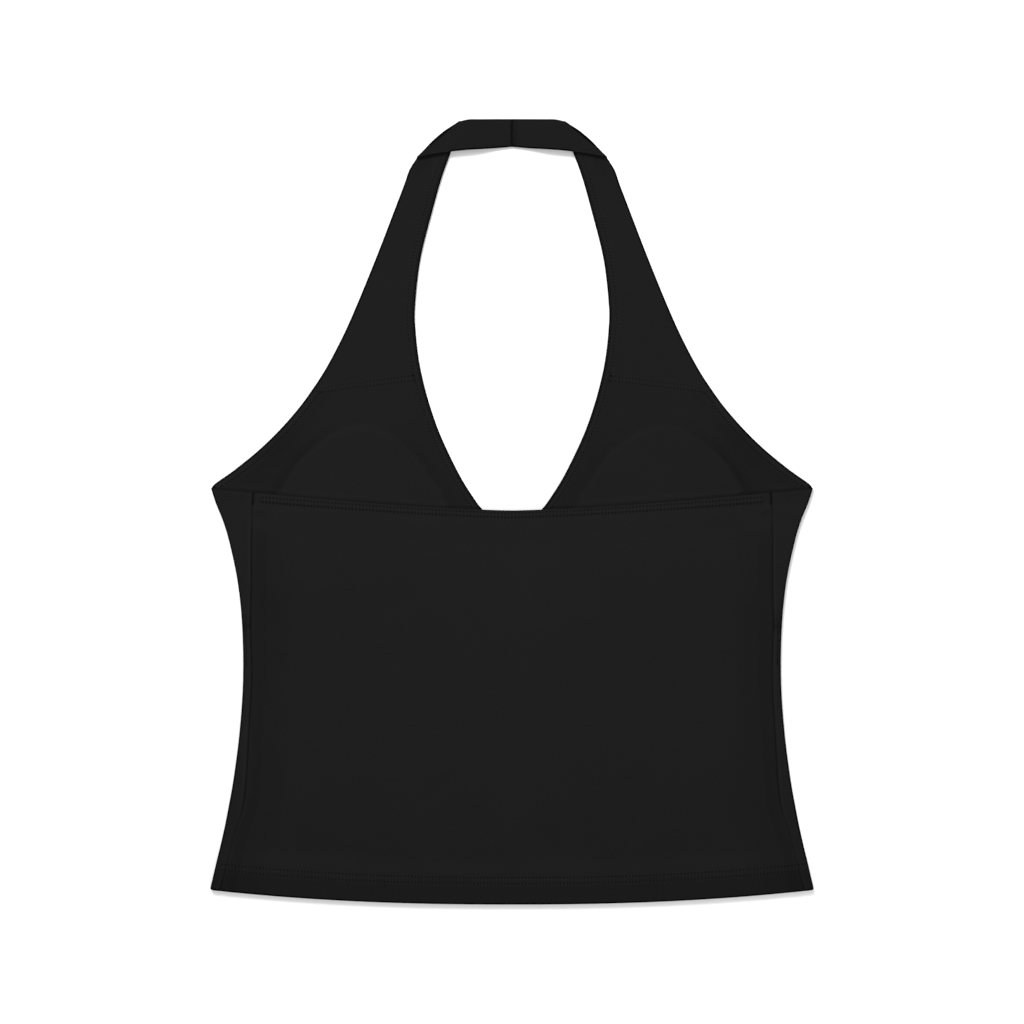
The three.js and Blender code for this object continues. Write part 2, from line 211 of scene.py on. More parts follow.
CORNER_HALF = 191.7
HEM_RISE = 9.2
HEM_SAG = 0.3  # the soft hem settles a little below the frame's lower end
TOP_EDGE_MIDDLE = 0.8
TOP_EDGE_RISE = 14.2
TOP_EDGE_END = TOP_EDGE_MIDDLE + TOP_EDGE_RISE
BUST_SEAM_MIDDLE = -78
BUST_SEAM_RISE = 5
BUST_SEAM_HALF = 172
V_BOTTOM = NECK_V["y"][0]
BODY_LENGTH = BUST_SEAM_MIDDLE + HALF_LENGTH
BUST_LENGTH = TOP_EDGE_MIDDLE - BUST_SEAM_MIDDLE
V_LENGTH = V_BOTTOM - BUST_SEAM_MIDDLE


def hem_y(x):
    return -HALF_LENGTH - HEM_SAG + HEM_RISE * (np.abs(x) / CORNER_HALF) ** 2.3


def top_edge_y(x):
    return TOP_EDGE_MIDDLE + TOP_EDGE_RISE * (np.abs(x) / CORNER_HALF) ** 1.4


def bust_seam_y(x):
    return BUST_SEAM_MIDDLE + BUST_SEAM_RISE * (x / BUST_SEAM_HALF) ** 2


# Lines across the body. Near an edge they keep their distance from it, and further in they even out.
EVEN_FROM = 24


def line_above_hem(offset):
    def y_at(x):
        spare = bust_seam_y(x) - hem_y(x) - BODY_LENGTH
        return hem_y(x) + offset + spare * smoothstep(offset, EVEN_FROM, BODY_LENGTH)
    return y_at


# The casing's rows lie a little further from its edge towards the side seams.
CASING_SPREAD = {"offset": (0, 1.8, 4.6, 14, 30), "more": (0, 0.9, 1.2, 0.6, 0)}
CASING_HALF = 160


def line_below_top(offset):
    more = float(np.interp(offset, CASING_SPREAD["offset"], CASING_SPREAD["more"]))

    def y_at(x):
        spare = top_edge_y(x) - bust_seam_y(x) - BUST_LENGTH
        settled = spare * smoothstep(offset, EVEN_FROM, BUST_LENGTH)
        return top_edge_y(x) - offset - more * (x / CASING_HALF) ** 2 - settled
    return y_at


# ---- Heights ----
SHELL_WALL = 0.8
HALF_WALL = SHELL_WALL / 2
TURNED_RADIUS = 0.42  # half the distance between the two layers of a turned edge
EDGE_FADE = 13
GAP = 0.3
LINING_LOW = 1.3  # underside of lining and facing, where no pad lifts them
BACK_LOW = 2.6  # underside of the back layer above the bust seam
LINING_END_SLOPE = 130
# A pad's lift runs out between these shares of its reach, under the lining and under the back.
LINING_RELIEF = (0.965, 1.035)
BACK_RELIEF = (1.0, 1.8)
HEM_ROWS = (13.4, 17.1)
CASING_ROWS = (1.8, 4.6)
EDGE_ROW = 4.6
HEM_DEPTH = 17.5
CASING_DEPTH = 9
NECK_ROLL = 1.5
ARM_ROLL = 1.0


def pad_polar(x, y):
    """How far a place is from a pad's centre, as a share of its reach, and in which direction."""
    dx = np.abs(x) - PAD_CENTRE[0]
    dy = y - PAD_CENTRE[1]
    degrees = (np.degrees(np.arctan2(dy, dx)) + 360) % 360
    return np.hypot(dx, dy) / pad_reach_at(degrees), degrees


PAD_MEAN_REACH = 56
VALLEY_AT = 0.6  # just outside the pad
VALLEY_WIDTHS = (1.1, 3.3)  # crisp towards the pad, soft away from it
VALLEY_INNER = 0.62  # depth on the side towards the middle, as a share of the outer side's


def pad_valley(x, y):
    """The hollow round a pad: deepest low on its outer side, and gone at the top."""
    share, degrees = pad_polar(x, y)
    away = (share - 1.0) * PAD_MEAN_REACH
    outer = smoothstep(degrees, -5, 12) * (1 - smoothstep(degrees, 45, 84))
    inner = smoothstep(degrees, 104, 128) * (1 - smoothstep(degrees, 176, 200))
    width = np.where(away < VALLEY_AT, *VALLEY_WIDTHS)
    return (outer + VALLEY_INNER * inner) * bump(away - VALLEY_AT, width)


def pad_lift(x, y, relief):
    share, _ = pad_polar(x, y)
    crown = (PAD_CROWN - PAD_RIM) * np.maximum(0, 1 - share * share)
    return (PAD_RIM + GAP + crown) * (1 - smoothstep(share, *relief))


def ridge(x, y, start, end, width, height):
    """A soft fold along a line, strongest at its middle, with ends that run out."""
    start, end = np.array(start, float), np.array(end, float)
    run = end - start
    length = np.hypot(*run)
    along = ((x - start[0]) * run[0] + (y - start[1]) * run[1]) / length**2
    across = ((x - start[0]) * -run[1] + (y - start[1]) * run[0]) / length
    ends = smoothstep(along, -0.1, 0.35) * (1 - smoothstep(along, 0.65, 1.1))
    return height * ends * bump(across, width)


def folds(x, y, table):
    return sum(ridge(x, y, *fold) for fold in table)


# Soft folds: start, end, width, height.
BACK_FOLDS = (
    ((-53, -8), (-56, -62), 2.6, 0.22),
    ((-45, -9), (-47, -40), 2.2, 0.16),
    ((38, -8), (41, -58), 2.6, 0.2),
    ((43.5, -9), (47, -36), 2.0, 0.14),
    ((80, -22), (86, -84), 4.0, 0.25),
    ((-118, -18), (-124, -70), 4.5, 0.25),
    ((117, -15), (121, -52), 3.5, 0.18),
    ((-150, -40), (-96, -62), 9.0, 0.35),
    ((152, -34), (104, -66), 10.0, 0.35),
    ((-158, -120), (-92, -108), 12.0, 0.4),
    ((160, -132), (98, -112), 12.0, 0.4),
    ((-70, -92), (-40, -190), 14.0, 0.4),
    ((30, -70), (66, -176), 16.0, 0.4),
    ((-150, -196), (-60, -218), 9.0, 0.4),
    ((148, -190), (40, -222), 10.0, 0.45),
    ((-20, -215), (30, -226), 7.0, 0.3),
)
LINING_FOLDS = (
    ((-66, 70), (-72, 40), 5.0, 0.25),
    ((68, 72), (76, 36), 5.0, 0.25),
    ((-112, 64), (-96, 60), 4.0, 0.2),
    ((118, 60), (100, 58), 4.0, 0.2),
    ((-158, 28), (-120, 52), 2.6, 0.16),
    ((159, 27), (118, 54), 2.6, 0.16),
    ((-40, 12), (-52, 44), 3.0, 0.22),
    ((41, 13), (53, 47), 3.0, 0.22),
)
STRAP_FOLDS = (
    ((-84, 100), (-74, 150), 5.0, 0.22),
    ((86, 96), (73, 158), 5.0, 0.22),
    ((-66, 168), (-58, 205), 4.0, 0.18),
    ((68, 160), (57, 208), 4.0, 0.18),
    ((-51, 226), (-56, 221), 1.6, 0.25),
    ((51, 226), (56.5, 220), 1.6, 0.25),
)


def hem_offset(x, y):
    return y - hem_y(x)


def top_offset(x, y):
    return top_edge_y(x) - y


def turned_share(offset, depth):
    """1 where an edge is turned in, and less past its raw end as the outer layer settles."""
    return 1 - smoothstep(offset, depth, depth + EDGE_FADE)


def back_low(x, y):
    """The level that the back layer lies on: the front with its turned hem, and then the lining."""
    over_lining = smoothstep(y, bust_seam_y(x) - LINING_END_SLOPE, bust_seam_y(x))
    over_front = SHELL_WALL + 2 * TURNED_RADIUS * turned_share(hem_offset(x, y), HEM_DEPTH) + GAP
    return lerp(over_front, BACK_LOW, over_lining) + pad_lift(x, y, BACK_RELIEF)


TUNNEL_RISE = 0.16  # cloth stands up between and beside two rows of stitches
TUNNEL_HALF = 3.4
ROW_SINK = 0.22
ROW_WIDTH = 0.55


def stitched_relief(offset, rows):
    """How stitched rows pull the cloth down, and let it stand up between them."""
    middle = (rows[0] + rows[-1]) / 2
    sink = sum(bump(offset - row, ROW_WIDTH) for row in rows)
    return TUNNEL_RISE * bump(offset - middle, TUNNEL_HALF) - ROW_SINK * sink


def casing_offset(x, y):
    """Distance below the back's top edge, as its stitched rows run."""
    offset = top_offset(x, y)
    share = (x / CASING_HALF) ** 2
    plain = np.array(CASING_SPREAD["offset"], float)
    more = np.array(CASING_SPREAD["more"], float)
    return offset - share * np.interp(offset, plain + 0.5 * more, more)


def seam_depth(y):
    """The side seam is crisp along most of its length, and nearly closed above the hem."""
    return (0.25 + 0.75 * smoothstep(y, -202, -178) * (1 - smoothstep(y, -12, -2))
            + 0.6 * (1 - smoothstep(y, -238, -228)) + 0.5 * smoothstep(y, 3, 6))


SEAM_GHOST = 8.5  # the seam allowance shows through this far from a side seam
GHOST_RISE = 0.14
SEAM_PRESS = 0.42  # how deep the side seam's groove is in the back


def back_top(x, y):
    """The middle of the back layer's outer cloth."""
    turned = np.maximum(turned_share(hem_offset(x, y), HEM_DEPTH),
                        turned_share(top_offset(x, y), CASING_DEPTH))
    from_seam = seam_at(y) - np.abs(x)
    ghost = GHOST_RISE * smoothstep(from_seam, 1.2, 2.6) * (1 - smoothstep(from_seam, 7.6, SEAM_GHOST + 1))
    level = back_low(x, y) + HALF_WALL + 2 * TURNED_RADIUS * turned
    level = level + folds(x, y, BACK_FOLDS) + ghost
    level = level + stitched_relief(hem_offset(x, y), HEM_ROWS)
    within = smoothstep(CASING_HALF + 1 - np.abs(x), 0, 1.5)
    level = level + within * stitched_relief(casing_offset(x, y), CASING_ROWS)
    return level - bump(from_seam, 1.1) * SEAM_PRESS * seam_depth(y)


def wrap_top(x, y):
    """The same for the strip of front cloth beyond the side seam."""
    past_seam = np.abs(x) - seam_at(y)
    level = back_low(x, y) + HALF_WALL
    level = level + 2 * TURNED_RADIUS * turned_share(hem_offset(x, y), HEM_DEPTH)
    level = level + stitched_relief(hem_offset(x, y), HEM_ROWS)
    crisp = seam_depth(y)
    level = level + (0.3 * bump(past_seam - 1.5, 1.2) - 0.3 * bump(past_seam, 0.5)) * crisp
    cross = y - bust_seam_y(x)
    level = level + 0.16 * bump(cross - 1.6, 1.3) - 0.34 * bump(cross, 0.7)
    return level + 0.12 * bump(top_offset(x, y) - 2.2, 1.4)


def front_bottom(x, y):
    """The middle of the front's outer cloth, which lies on the surface face down."""
    level = np.full(np.shape(x + y), HALF_WALL)
    level = level + 0.6 * np.maximum(-stitched_relief(hem_offset(x, y), HEM_ROWS), 0)
    return level + 0.3 * bump(y - bust_seam_y(x), 0.8)


def lining_low(x, y):
    lift = LINING_LOW + pad_lift(x, y, LINING_RELIEF) + folds(x, y, LINING_FOLDS)
    return lift + folds(x, y, STRAP_FOLDS)


BAND_LIFT = 2.6  # how far the band stands up at the shoulders, over its level at centre back


def band_lift(x):
    return BAND_LIFT * smoothstep(np.abs(x), BAND_DOWN_AT, BAND_RAISED_FROM)


# ---- Turned edges ----
class TurnedEdge:
    """An edge that is turned to the inside, from its raw end to where the outer layer starts: how
    far in from the edge, and how far inside the outer layer's middle, each face lies."""

    def __init__(self, depth, radius, steps_in=5, steps_round=6):
        start = HALF_WALL + radius
        flat = [(offset, 2 * radius, math.pi)
                for offset in np.linspace(depth, start, steps_in, endpoint=False)]
        turn = [(start - radius * math.sin(a), radius * (1 - math.cos(a)), a)
                for a in np.linspace(math.pi, 0, steps_round + 1)]
        offset, drop, angle = np.array(flat + turn).T
        self.over = offset - HALF_WALL * np.sin(angle), drop - HALF_WALL * np.cos(angle)
        self.under = offset + HALF_WALL * np.sin(angle), drop + HALF_WALL * np.cos(angle)
        self.start = start

    def profile(self, offsets):
        """The turned edge and the outer layer at these offsets, as (over, under) pairs."""
        more = np.array([offset for offset in offsets if offset > self.start + 0.1], float)
        faces = []
        for (offset, drop), level in ((self.over, -HALF_WALL), (self.under, HALF_WALL)):
            faces.append(np.stack([np.r_[offset, more], np.r_[drop, np.full(len(more), level)]]))
        return faces


def rows_between(low, high, step):
    return list(np.linspace(low, high, max(2, round((high - low) / step)) + 1))


def around_row(row):
    return [row + step for step in (-0.75, -0.4, -0.18, 0, 0.18, 0.4, 0.75)]


HEM_OFFSETS = sorted(
    [1.4, 2.1, 3.2, 4.8, 6.5, 8.3, 10.0, 11.4, 15.25, 18.8, 20.3, 22.2]
    + around_row(HEM_ROWS[0]) + around_row(HEM_ROWS[1]))
BODY_OFFSETS = HEM_OFFSETS + rows_between(24.5, BODY_LENGTH - 5, 2.7)
SEAM_OFFSETS = [BODY_LENGTH - d for d in (3.6, 2.4, 1.4, 0.7, -0.15)]
CASING_OFFSETS = sorted(
    [1.3, 3.2, 6.3, 7.6, 9.2, 10.8, 12.6, 14.6, 16.8] + around_row(CASING_ROWS[0])[2:]
    + around_row(CASING_ROWS[1]))
BUST_OFFSETS = CASING_OFFSETS + [18.8] + rows_between(21, BUST_LENGTH - 4.4, 2.7)
FROM_EDGE = (0.25, 0.7, 1.4, 2.2, 3.2, 4.6, 6.2, 7.8, 9.4)


def spread(width, near, far, middles):
    """Distances across a width: near ones from its start, far ones from its end, even between."""
    low, high = near[-1], width - far[-1]
    between = [lerp(low, high, share) for share in np.linspace(0, 1, middles + 2)[1:-1]]
    return np.array(list(near) + between + [width - d for d in reversed(far)])


# ---- Thick sheets: grids of places, each with an under and an over point ----
# The first trait is painted light and shade: above 0 lighter, below 0 darker.
TRAITS = ("tone", "row_gap", "row_run")
FAR_FROM_ROWS = 9.0
WELD = 200  # places coincide when they agree to this fraction of a millimetre


class ThickSheet:
    def __init__(self):
        self.under, self.over, self.traits, self.quads, self.count = [], [], [], [], 0

    def patch(self, over, under, traits=None):
        """Rows run one way and places in a row the other: seen from over, anticlockwise."""
        rows, columns = over.shape[:2]
        if traits is None:
            traits = np.zeros((rows, columns, len(TRAITS)))
            traits[..., 1] = FAR_FROM_ROWS
        ids = self.count + np.arange(rows * columns).reshape(rows, columns)
        quads = np.stack([ids[:-1, :-1], ids[:-1, 1:], ids[1:, 1:], ids[1:, :-1]], -1)
        self.over.append(over.reshape(-1, 3))
        self.under.append(under.reshape(-1, 3))
        self.traits.append(traits.reshape(-1, len(TRAITS)))
        self.quads.append(quads.reshape(-1, 4))
        self.count += rows * columns
        return self

    def half(self, sign, over, under, traits):
        """A patch that is made for x > 0: as it is for sign 1, its mirror image for sign -1."""
        if sign > 0:
            return self.patch(over, under, traits)
        flipped = None if traits is None else traits[:, ::-1]
        return self.patch(mirrored(over), mirrored(under), flipped)

    def arrays(self):
        """Points, faces and traits of the closed sheet, with places that coincide made one."""
        over, under = np.concatenate(self.over), np.concatenate(self.under)
        quads, traits = np.concatenate(self.quads), np.concatenate(self.traits)
        keys = np.round(np.hstack([over, under]) * WELD).astype(np.int64)
        _, first, ids = np.unique(keys, axis=0, return_index=True, return_inverse=True)
        quads = ids.reshape(-1)[quads]
        over, under, traits = over[first], under[first], traits[first]
        faces = []
        for quad in quads.tolist():
            face = [v for i, v in enumerate(quad) if v != quad[i - 1]]
            if len(face) > 2 and len(set(face)) == len(face):
                faces.append(face)
        edges = {(face[i - 1], face[i]) for face in faces for i in range(len(face))}
        count = len(over)
        closed = [[v + count for v in face] for face in faces] + [face[::-1] for face in faces]
        for low, high in edges:
            if (high, low) not in edges:
                closed.append([low, high, high + count, low + count])
        return np.concatenate([under, over]), closed, np.concatenate([traits, traits])

    def mesh(self, name):
        points, faces, traits = self.arrays()
        mesh = bpy.data.meshes.new(name)
        mesh.from_pydata((points * MM).tolist(), [], faces)
        for column, trait in enumerate(TRAITS):
            attribute = mesh.attributes.new(trait, "FLOAT", "POINT")
            attribute.data.foreach_set("value", traits[:, column].astype(np.float32))
        mesh.shade_smooth()
        return mesh


def mirrored(points):
    """The same grid for x < 0, with each row turned round so that it still faces the same way."""
    return (points * np.array((-1, 1, 1)))[:, ::-1]


# ---- Stitches: short threads in rows, collected and then joined into one mesh ----
STATIONS = ((-1, 0.3), (-0.7, 0.85), (0, 1.0), (0.7, 0.85), (1, 0.3))
THREAD_SIDES = 6
STITCH_SHARE = 0.3  # half of a stitch's visible thread, as a share of its length
THREAD_HALF = (0.6, 0.5)  # half its width and height, in threads: it is pressed a little flat
THREAD_DIVE = 0.7  # how far its ends go down into the cloth, in threads


class StitchRows:
    def __init__(self, pitch, thread):
        self.pitch, self.thread = pitch, thread
        self.points, self.faces, self.count = [], [], 0

    def row(self, path, run, up=1.0, pitch=None):
        """Threads along a path of points, one in the middle of each whole number of stitches of
        its run. up is 1 on cloth seen from above, -1 from below."""
        path, run = np.asarray(path, float), np.asarray(run, float)
        pitch = pitch or self.pitch
        if run[0] > run[-1]:
            path, run = path[::-1], run[::-1]
        at = (np.arange(math.ceil(run[0] / pitch), math.floor(run[-1] / pitch)) + 0.5) * pitch
        number, reach = len(at), STITCH_SHARE * pitch
        centre, ahead, behind = (
            np.stack([np.interp(at + d, run, path[:, k]) for k in range(3)], -1)
            for d in (0, reach, -reach))
        along = ahead - behind
        along /= np.maximum(np.linalg.norm(along, axis=1, keepdims=True), 1e-6)
        aside = np.cross(along, (0, 0, up))
        aside /= np.linalg.norm(aside, axis=1, keepdims=True)
        above = np.cross(aside, along)
        rings = []
        for where, size in STATIONS:
            middle = centre + along * (where * reach)
            middle = middle - above * (abs(where) ** 3 * THREAD_DIVE * self.thread)
            for side in range(THREAD_SIDES):
                angle = 2 * math.pi * side / THREAD_SIDES
                across = (aside * math.cos(angle) * THREAD_HALF[0]
                          + above * math.sin(angle) * THREAD_HALF[1])
                rings.append(middle + across * (size * self.thread))
        self.points.append(np.concatenate(rings))
        grid = np.arange(len(STATIONS) * THREAD_SIDES).reshape(len(STATIONS), THREAD_SIDES)
        for item in range(number):
            ids = grid * number + item + self.count
            for i in range(len(STATIONS) - 1):
                for j in range(THREAD_SIDES):
                    k = (j + 1) % THREAD_SIDES
                    self.faces.append([ids[i, j], ids[i, k], ids[i + 1, k], ids[i + 1, j]])
            self.faces.append(list(ids[0][::-1]))
            self.faces.append(list(ids[-1]))
        self.count += grid.size * number
        return self

    def mesh(self, name):
        mesh = bpy.data.meshes.new(name)
        points = np.concatenate(self.points) * MM
        mesh.from_pydata(points.tolist(), [], [[int(v) for v in face] for face in self.faces])
        mesh.shade_smooth()
        return mesh


# ---- Shader maths ----
def connect(tree, node, inputs):
    """Links a node's sockets to signals, and sets the others to plain values."""
    for key, value in inputs.items():
        if isinstance(value, Signal):
            tree.links.new(value.socket, node.inputs[key])
        else:
            node.inputs[key].default_value = value


class Signal:
    """A value in a material's nodes, with which plain arithmetic adds Math nodes."""

    def __init__(self, tree, socket):
        self.tree, self.socket = tree, socket

    def node(self, kind, settings=None, inputs=None, output=0):
        """Any node: its type, its settings, and the values or links of its sockets."""
        made = self.tree.nodes.new(kind)
        for key, value in (settings or {}).items():
            setattr(made, key, value)
        connect(self.tree, made, inputs or {})
        return Signal(self.tree, made.outputs[output])

    def math(self, operation, *others, first=None):
        values = [self if first is None else first, *others]
        return self.node("ShaderNodeMath", {"operation": operation}, dict(enumerate(values)))

    def __add__(self, other):
        return self.math("ADD", other)

    __radd__ = __add__

    def __sub__(self, other):
        return self.math("SUBTRACT", other)

    def __rsub__(self, other):
        return self.math("SUBTRACT", self, first=other)

    def __mul__(self, other):
        return self.math("MULTIPLY", other)

    __rmul__ = __mul__

    def __truediv__(self, other):
        return self.math("DIVIDE", other)

    def __rtruediv__(self, other):
        return self.math("DIVIDE", self, first=other)

    def __pow__(self, other):
        return self.math("POWER", other)

    def wave(self):
        """A sine of this value, from 0 to 1, once for each whole number."""
        return (self * (2 * math.pi)).math("SINE") * 0.5 + 0.5

    def clamped(self):
        return self.math("MINIMUM", 1.0).math("MAXIMUM", 0.0)


class Surface:
    """A material in the making, with signals for places on its object in millimetres."""

    def __init__(self, name):
        self.material = bpy.data.materials.new(name)
        self.material.use_nodes = True
        self.tree = self.material.node_tree
        self.start = Signal(self.tree, None)
        place = self.start.node("ShaderNodeTexCoord", output="Object")
        self.places = self.start.node(
            "ShaderNodeVectorMath", {"operation": "SCALE"}, {0: place, "Scale": 1 / MM})

    def across_and_along(self):
        return [self.start.node("ShaderNodeSeparateXYZ", None, {0: self.places}, output=k)
                for k in (0, 1)]

    def noise(self, scale, detail=3.0, roughness=0.55, distortion=0.0, stretch=None):
        vector = self.places
        if stretch is not None:
            vector = self.start.node("ShaderNodeVectorMath", {"operation": "MULTIPLY"},
                                     {0: self.places, 1: stretch})
        return self.start.node("ShaderNodeTexNoise", None, {
            "Vector": vector, "Scale": scale, "Detail": detail, "Roughness": roughness,
            "Distortion": distortion})

    def trait(self, word):
        return self.start.node("ShaderNodeAttribute", {"attribute_name": word}, output="Fac")

    def painted(self, colour, shade):
        """A colour, made darker or lighter by a signal."""
        tint = self.start.node("ShaderNodeCombineXYZ", None, {0: shade, 1: shade, 2: shade})
        return self.start.node("ShaderNodeVectorMath", {"operation": "MULTIPLY"},
                               {0: tuple(colour), 1: tint})

    def relief(self, height):
        return self.start.node(
            "ShaderNodeBump", None, {"Strength": 1.0, "Distance": MM, "Height": height},
            output="Normal")

    def finished(self, inputs):
        connect(self.tree, self.tree.nodes["Principled BSDF"], inputs)
        return self.material


# What differs between one cloth and another: fine rib across, how deep, grain, sheen.
FINISHES = {
    "shell_jersey": {"rib": 0.95, "rib_depth": 0.030, "grain": 0.20, "rough": 0.92, "sheen": 0.01},
    "lining_jersey": {"rib": 0.80, "rib_depth": 0.022, "grain": 0.17, "rough": 0.90, "sheen": 0.012},
    "pad_foam": {"rib": 1.40, "rib_depth": 0.020, "grain": 0.14, "rough": 0.94, "sheen": 0.01},
}
SPECULAR = 0.02
SHEEN_COLOUR = (0.25, 0.25, 0.26, 1)
# Painted shade along stitched rows, where the cloth is drawn in, and deeper in the needle holes.
ROW_PAINTED_SHADE = 0.10
ROW_HALF = 0.75  # cloth is drawn in this far on each side of a row
ROW_REACH = 1.6  # and is uneven up to here
HOLE_PAINTED_SHADE = 0.36
LEAST_SHADE = 0.04


def cloth_material(name, slot, colour):
    """Fine jersey: knitted ribs, grain, broad unevenness, needle holes, and painted light and shade."""
    finish = FINISHES[slot]
    cloth = Surface(name)
    across, along = cloth.across_and_along()
    grain = cloth.noise(1.5, 2.0, 0.7)
    flecks = cloth.noise(0.62, 3.0, 0.75)
    broad = cloth.noise(0.018, 3.0, 0.5, 0.6)
    drift = cloth.noise(0.05, 2.0, 0.5, 0.4, (1.0, 0.35, 1.0))
    waviness = cloth.noise(0.12, 2.0)
    ribs = ((across + waviness * 1.2) / finish["rib"]).wave()
    courses = ((along + waviness * 0.8) / (finish["rib"] * 0.8)).wave()

    gap, run = cloth.trait("row_gap"), cloth.trait("row_run")
    near_row = (1.0 - gap / ROW_HALF).clamped()
    beside_row = (1.0 - gap / ROW_REACH).clamped()
    at_hole = (run / STITCH_PITCH + 0.25).wave()
    holes = (at_hole ** 2.0 * near_row * 2.2).clamped()
    between = (1.0 - at_hole) ** 2.0 * beside_row
    puckers = cloth.noise(0.45, 2.0) * beside_row

    shade = 1.0 + (grain - 0.5) * finish["grain"] * 2.0 + (flecks - 0.5) * finish["grain"]
    # Painted light and shade: the trait below, and light between the needle holes.
    shade = shade + (broad - 0.5) * 0.12 + (drift - 0.5) * 0.05 + cloth.trait("tone") + between * 0.18
    # Painted shade along the rows and in the needle holes.
    shade = shade * (1.0 - near_row * ROW_PAINTED_SHADE) * (1.0 - holes * HOLE_PAINTED_SHADE)
    height = (ribs * finish["rib_depth"] + courses * (finish["rib_depth"] * 0.5)
              + grain * 0.05 + flecks * 0.05 + cloth.noise(0.2, 2.0) * 0.12
              - holes * 0.10 + between * 0.08 + puckers * 0.10)
    return cloth.finished({
        "Base Color": cloth.painted(colour, shade.math("MAXIMUM", LEAST_SHADE)),
        "Roughness": (grain - 0.5) * 0.08 + finish["rough"], "Normal": cloth.relief(height),
        "Specular IOR Level": SPECULAR, "Sheen Weight": finish["sheen"], "Sheen Roughness": 0.6,
        "Sheen Tint": SHEEN_COLOUR})


def thread_material(name, colour):
    """Spun polyester thread: a fine twist across and a dull gleam."""
    thread = Surface(name)
    across, along = thread.across_and_along()
    twist = ((across + along) / 0.3).wave()
    fuzz = thread.noise(0.8, 3.0, 0.5)
    return thread.finished({
        "Base Color": thread.painted(colour, 0.7 + twist * 0.25 + fuzz * 0.6),
        "Roughness": 0.62 + fuzz * 0.2, "Normal": thread.relief(twist * 0.04 + fuzz * 0.05),
        "Specular IOR Level": 0.05, "Sheen Weight": 0.02})


def ground_material(name, colour):
    """Plain pale card with the faintest grain."""
    ground = Surface(name)
    return ground.finished({
        "Base Color": ground.painted(colour, 0.99 + ground.noise(0.4, 2.0, 0.5) * 0.02),
        "Roughness": 0.9, "Specular IOR Level": 0.1})


def show(mesh, material, nodes=()):
    """Puts a finished mesh into the scene as a piece on the root body."""
    piece = bpy.data.objects.new(mesh.name, mesh)
    bpy.context.scene.collection.objects.link(piece)
    mesh.materials.append(material)
    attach(piece, "root")
    if nodes:
        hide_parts(*nodes)
    return piece


# ---- Traits of the cloth at each place ----
def traits_for(x, gap=None, run=None, tone=None):
    made = np.zeros(np.shape(x) + (len(TRAITS),))
    made[..., 1] = FAR_FROM_ROWS
    if tone is not None:
        made[..., 0] = tone
    if gap is not None:
        made[..., 1], made[..., 2] = gap, run
    return made


def nearest_row(offset, rows):
    return np.min([np.abs(offset - row) for row in rows], axis=0)


SEAM_BAR = (4.6, 12.6)  # a bar of close stitches holds the casing's end, between these heights


# Where the hem's two rows draw the cloth in, with painted shade: place, width, strength.
DRAWN_IN = ((-40, 16, 1), (101, 24, 1), (-132, 18, 0.6))
HEM_DARK = 0.12
DRAWN_IN_PAINTED_SHADE = 0.13


def hem_painted_shade(x, y):
    """The turned hem is painted darker, with painted shade between its rows where they draw it in."""
    offset = hem_offset(x, y)
    drawn = sum(strength * bump(x - at, width) for at, width, strength in DRAWN_IN)
    from_middle = offset - (HEM_ROWS[0] + HEM_ROWS[1]) / 2
    return (-HEM_DARK * (1 - smoothstep(offset, 11.5, 14))
            - DRAWN_IN_PAINTED_SHADE * drawn * bump(from_middle, 1.3))


def bar_painted_shade(distance, y):
    """Painted shade along the bar, at a distance from it."""
    held = smoothstep(y, SEAM_BAR[0] - 0.6, SEAM_BAR[0] + 0.4)
    return -0.5 * bump(distance, 0.85) * held


# At the pucker a painted highlight, and painted shade below it.
PUCKER = (161.2, 2.6)  # where the casing's end draws the back in
# Painted shade in the groove of a side seam.
SEAM_PAINTED_SHADE = 0.26


def back_painted_shading(x, y):
    """Soft lighter and darker places of the back."""
    # All painted light and shade: lighter high and in the middle, darker low and beside the seam.
    from_seam = seam_at(y) - np.abs(x)
    below_casing = 1 - smoothstep(y, -16, -8)
    allowance = smoothstep(from_seam, 0.5, 3) * (1 - smoothstep(from_seam, 7.5, 10.5))
    tone = -0.10 * allowance * below_casing
    tone = tone - 0.05 * (1 - smoothstep(hem_offset(x, y), 17, 110)) + hem_painted_shade(x, y)
    tone = tone + 0.05 * bump(np.hypot(x + 12, (y + 46) * 1.2), 70)
    tone = tone + 0.05 * smoothstep(y, -60, -8)
    tone = tone - 0.08 * bump(from_seam - 14, 12) * below_casing
    tone = tone - SEAM_PAINTED_SHADE * bump(from_seam, 0.8) * np.minimum(seam_depth(y), 1)
    pucker_x, pucker_y = np.abs(x) - PUCKER[0], y - PUCKER[1]
    tone = tone + 0.22 * bump(np.hypot(pucker_x, pucker_y * 1.9), 1.7)
    tone = tone - 0.2 * bump(np.hypot(pucker_x * 0.8, (pucker_y + 3.2) * 1.5), 2.4)
    return tone + bar_painted_shade(from_seam - 0.2, y)


# Faint smudges of shade on the strip below its top edge: place, size, strength.
SMUDGES = (((-181, 10.4), 3.0, 0.10), ((-171, 9.0), 2.4, 0.12), ((176, 10.0), 3.4, 0.12),
           ((186, 12.2), 2.2, 0.10), ((-187, 4), 2.6, 0.08))


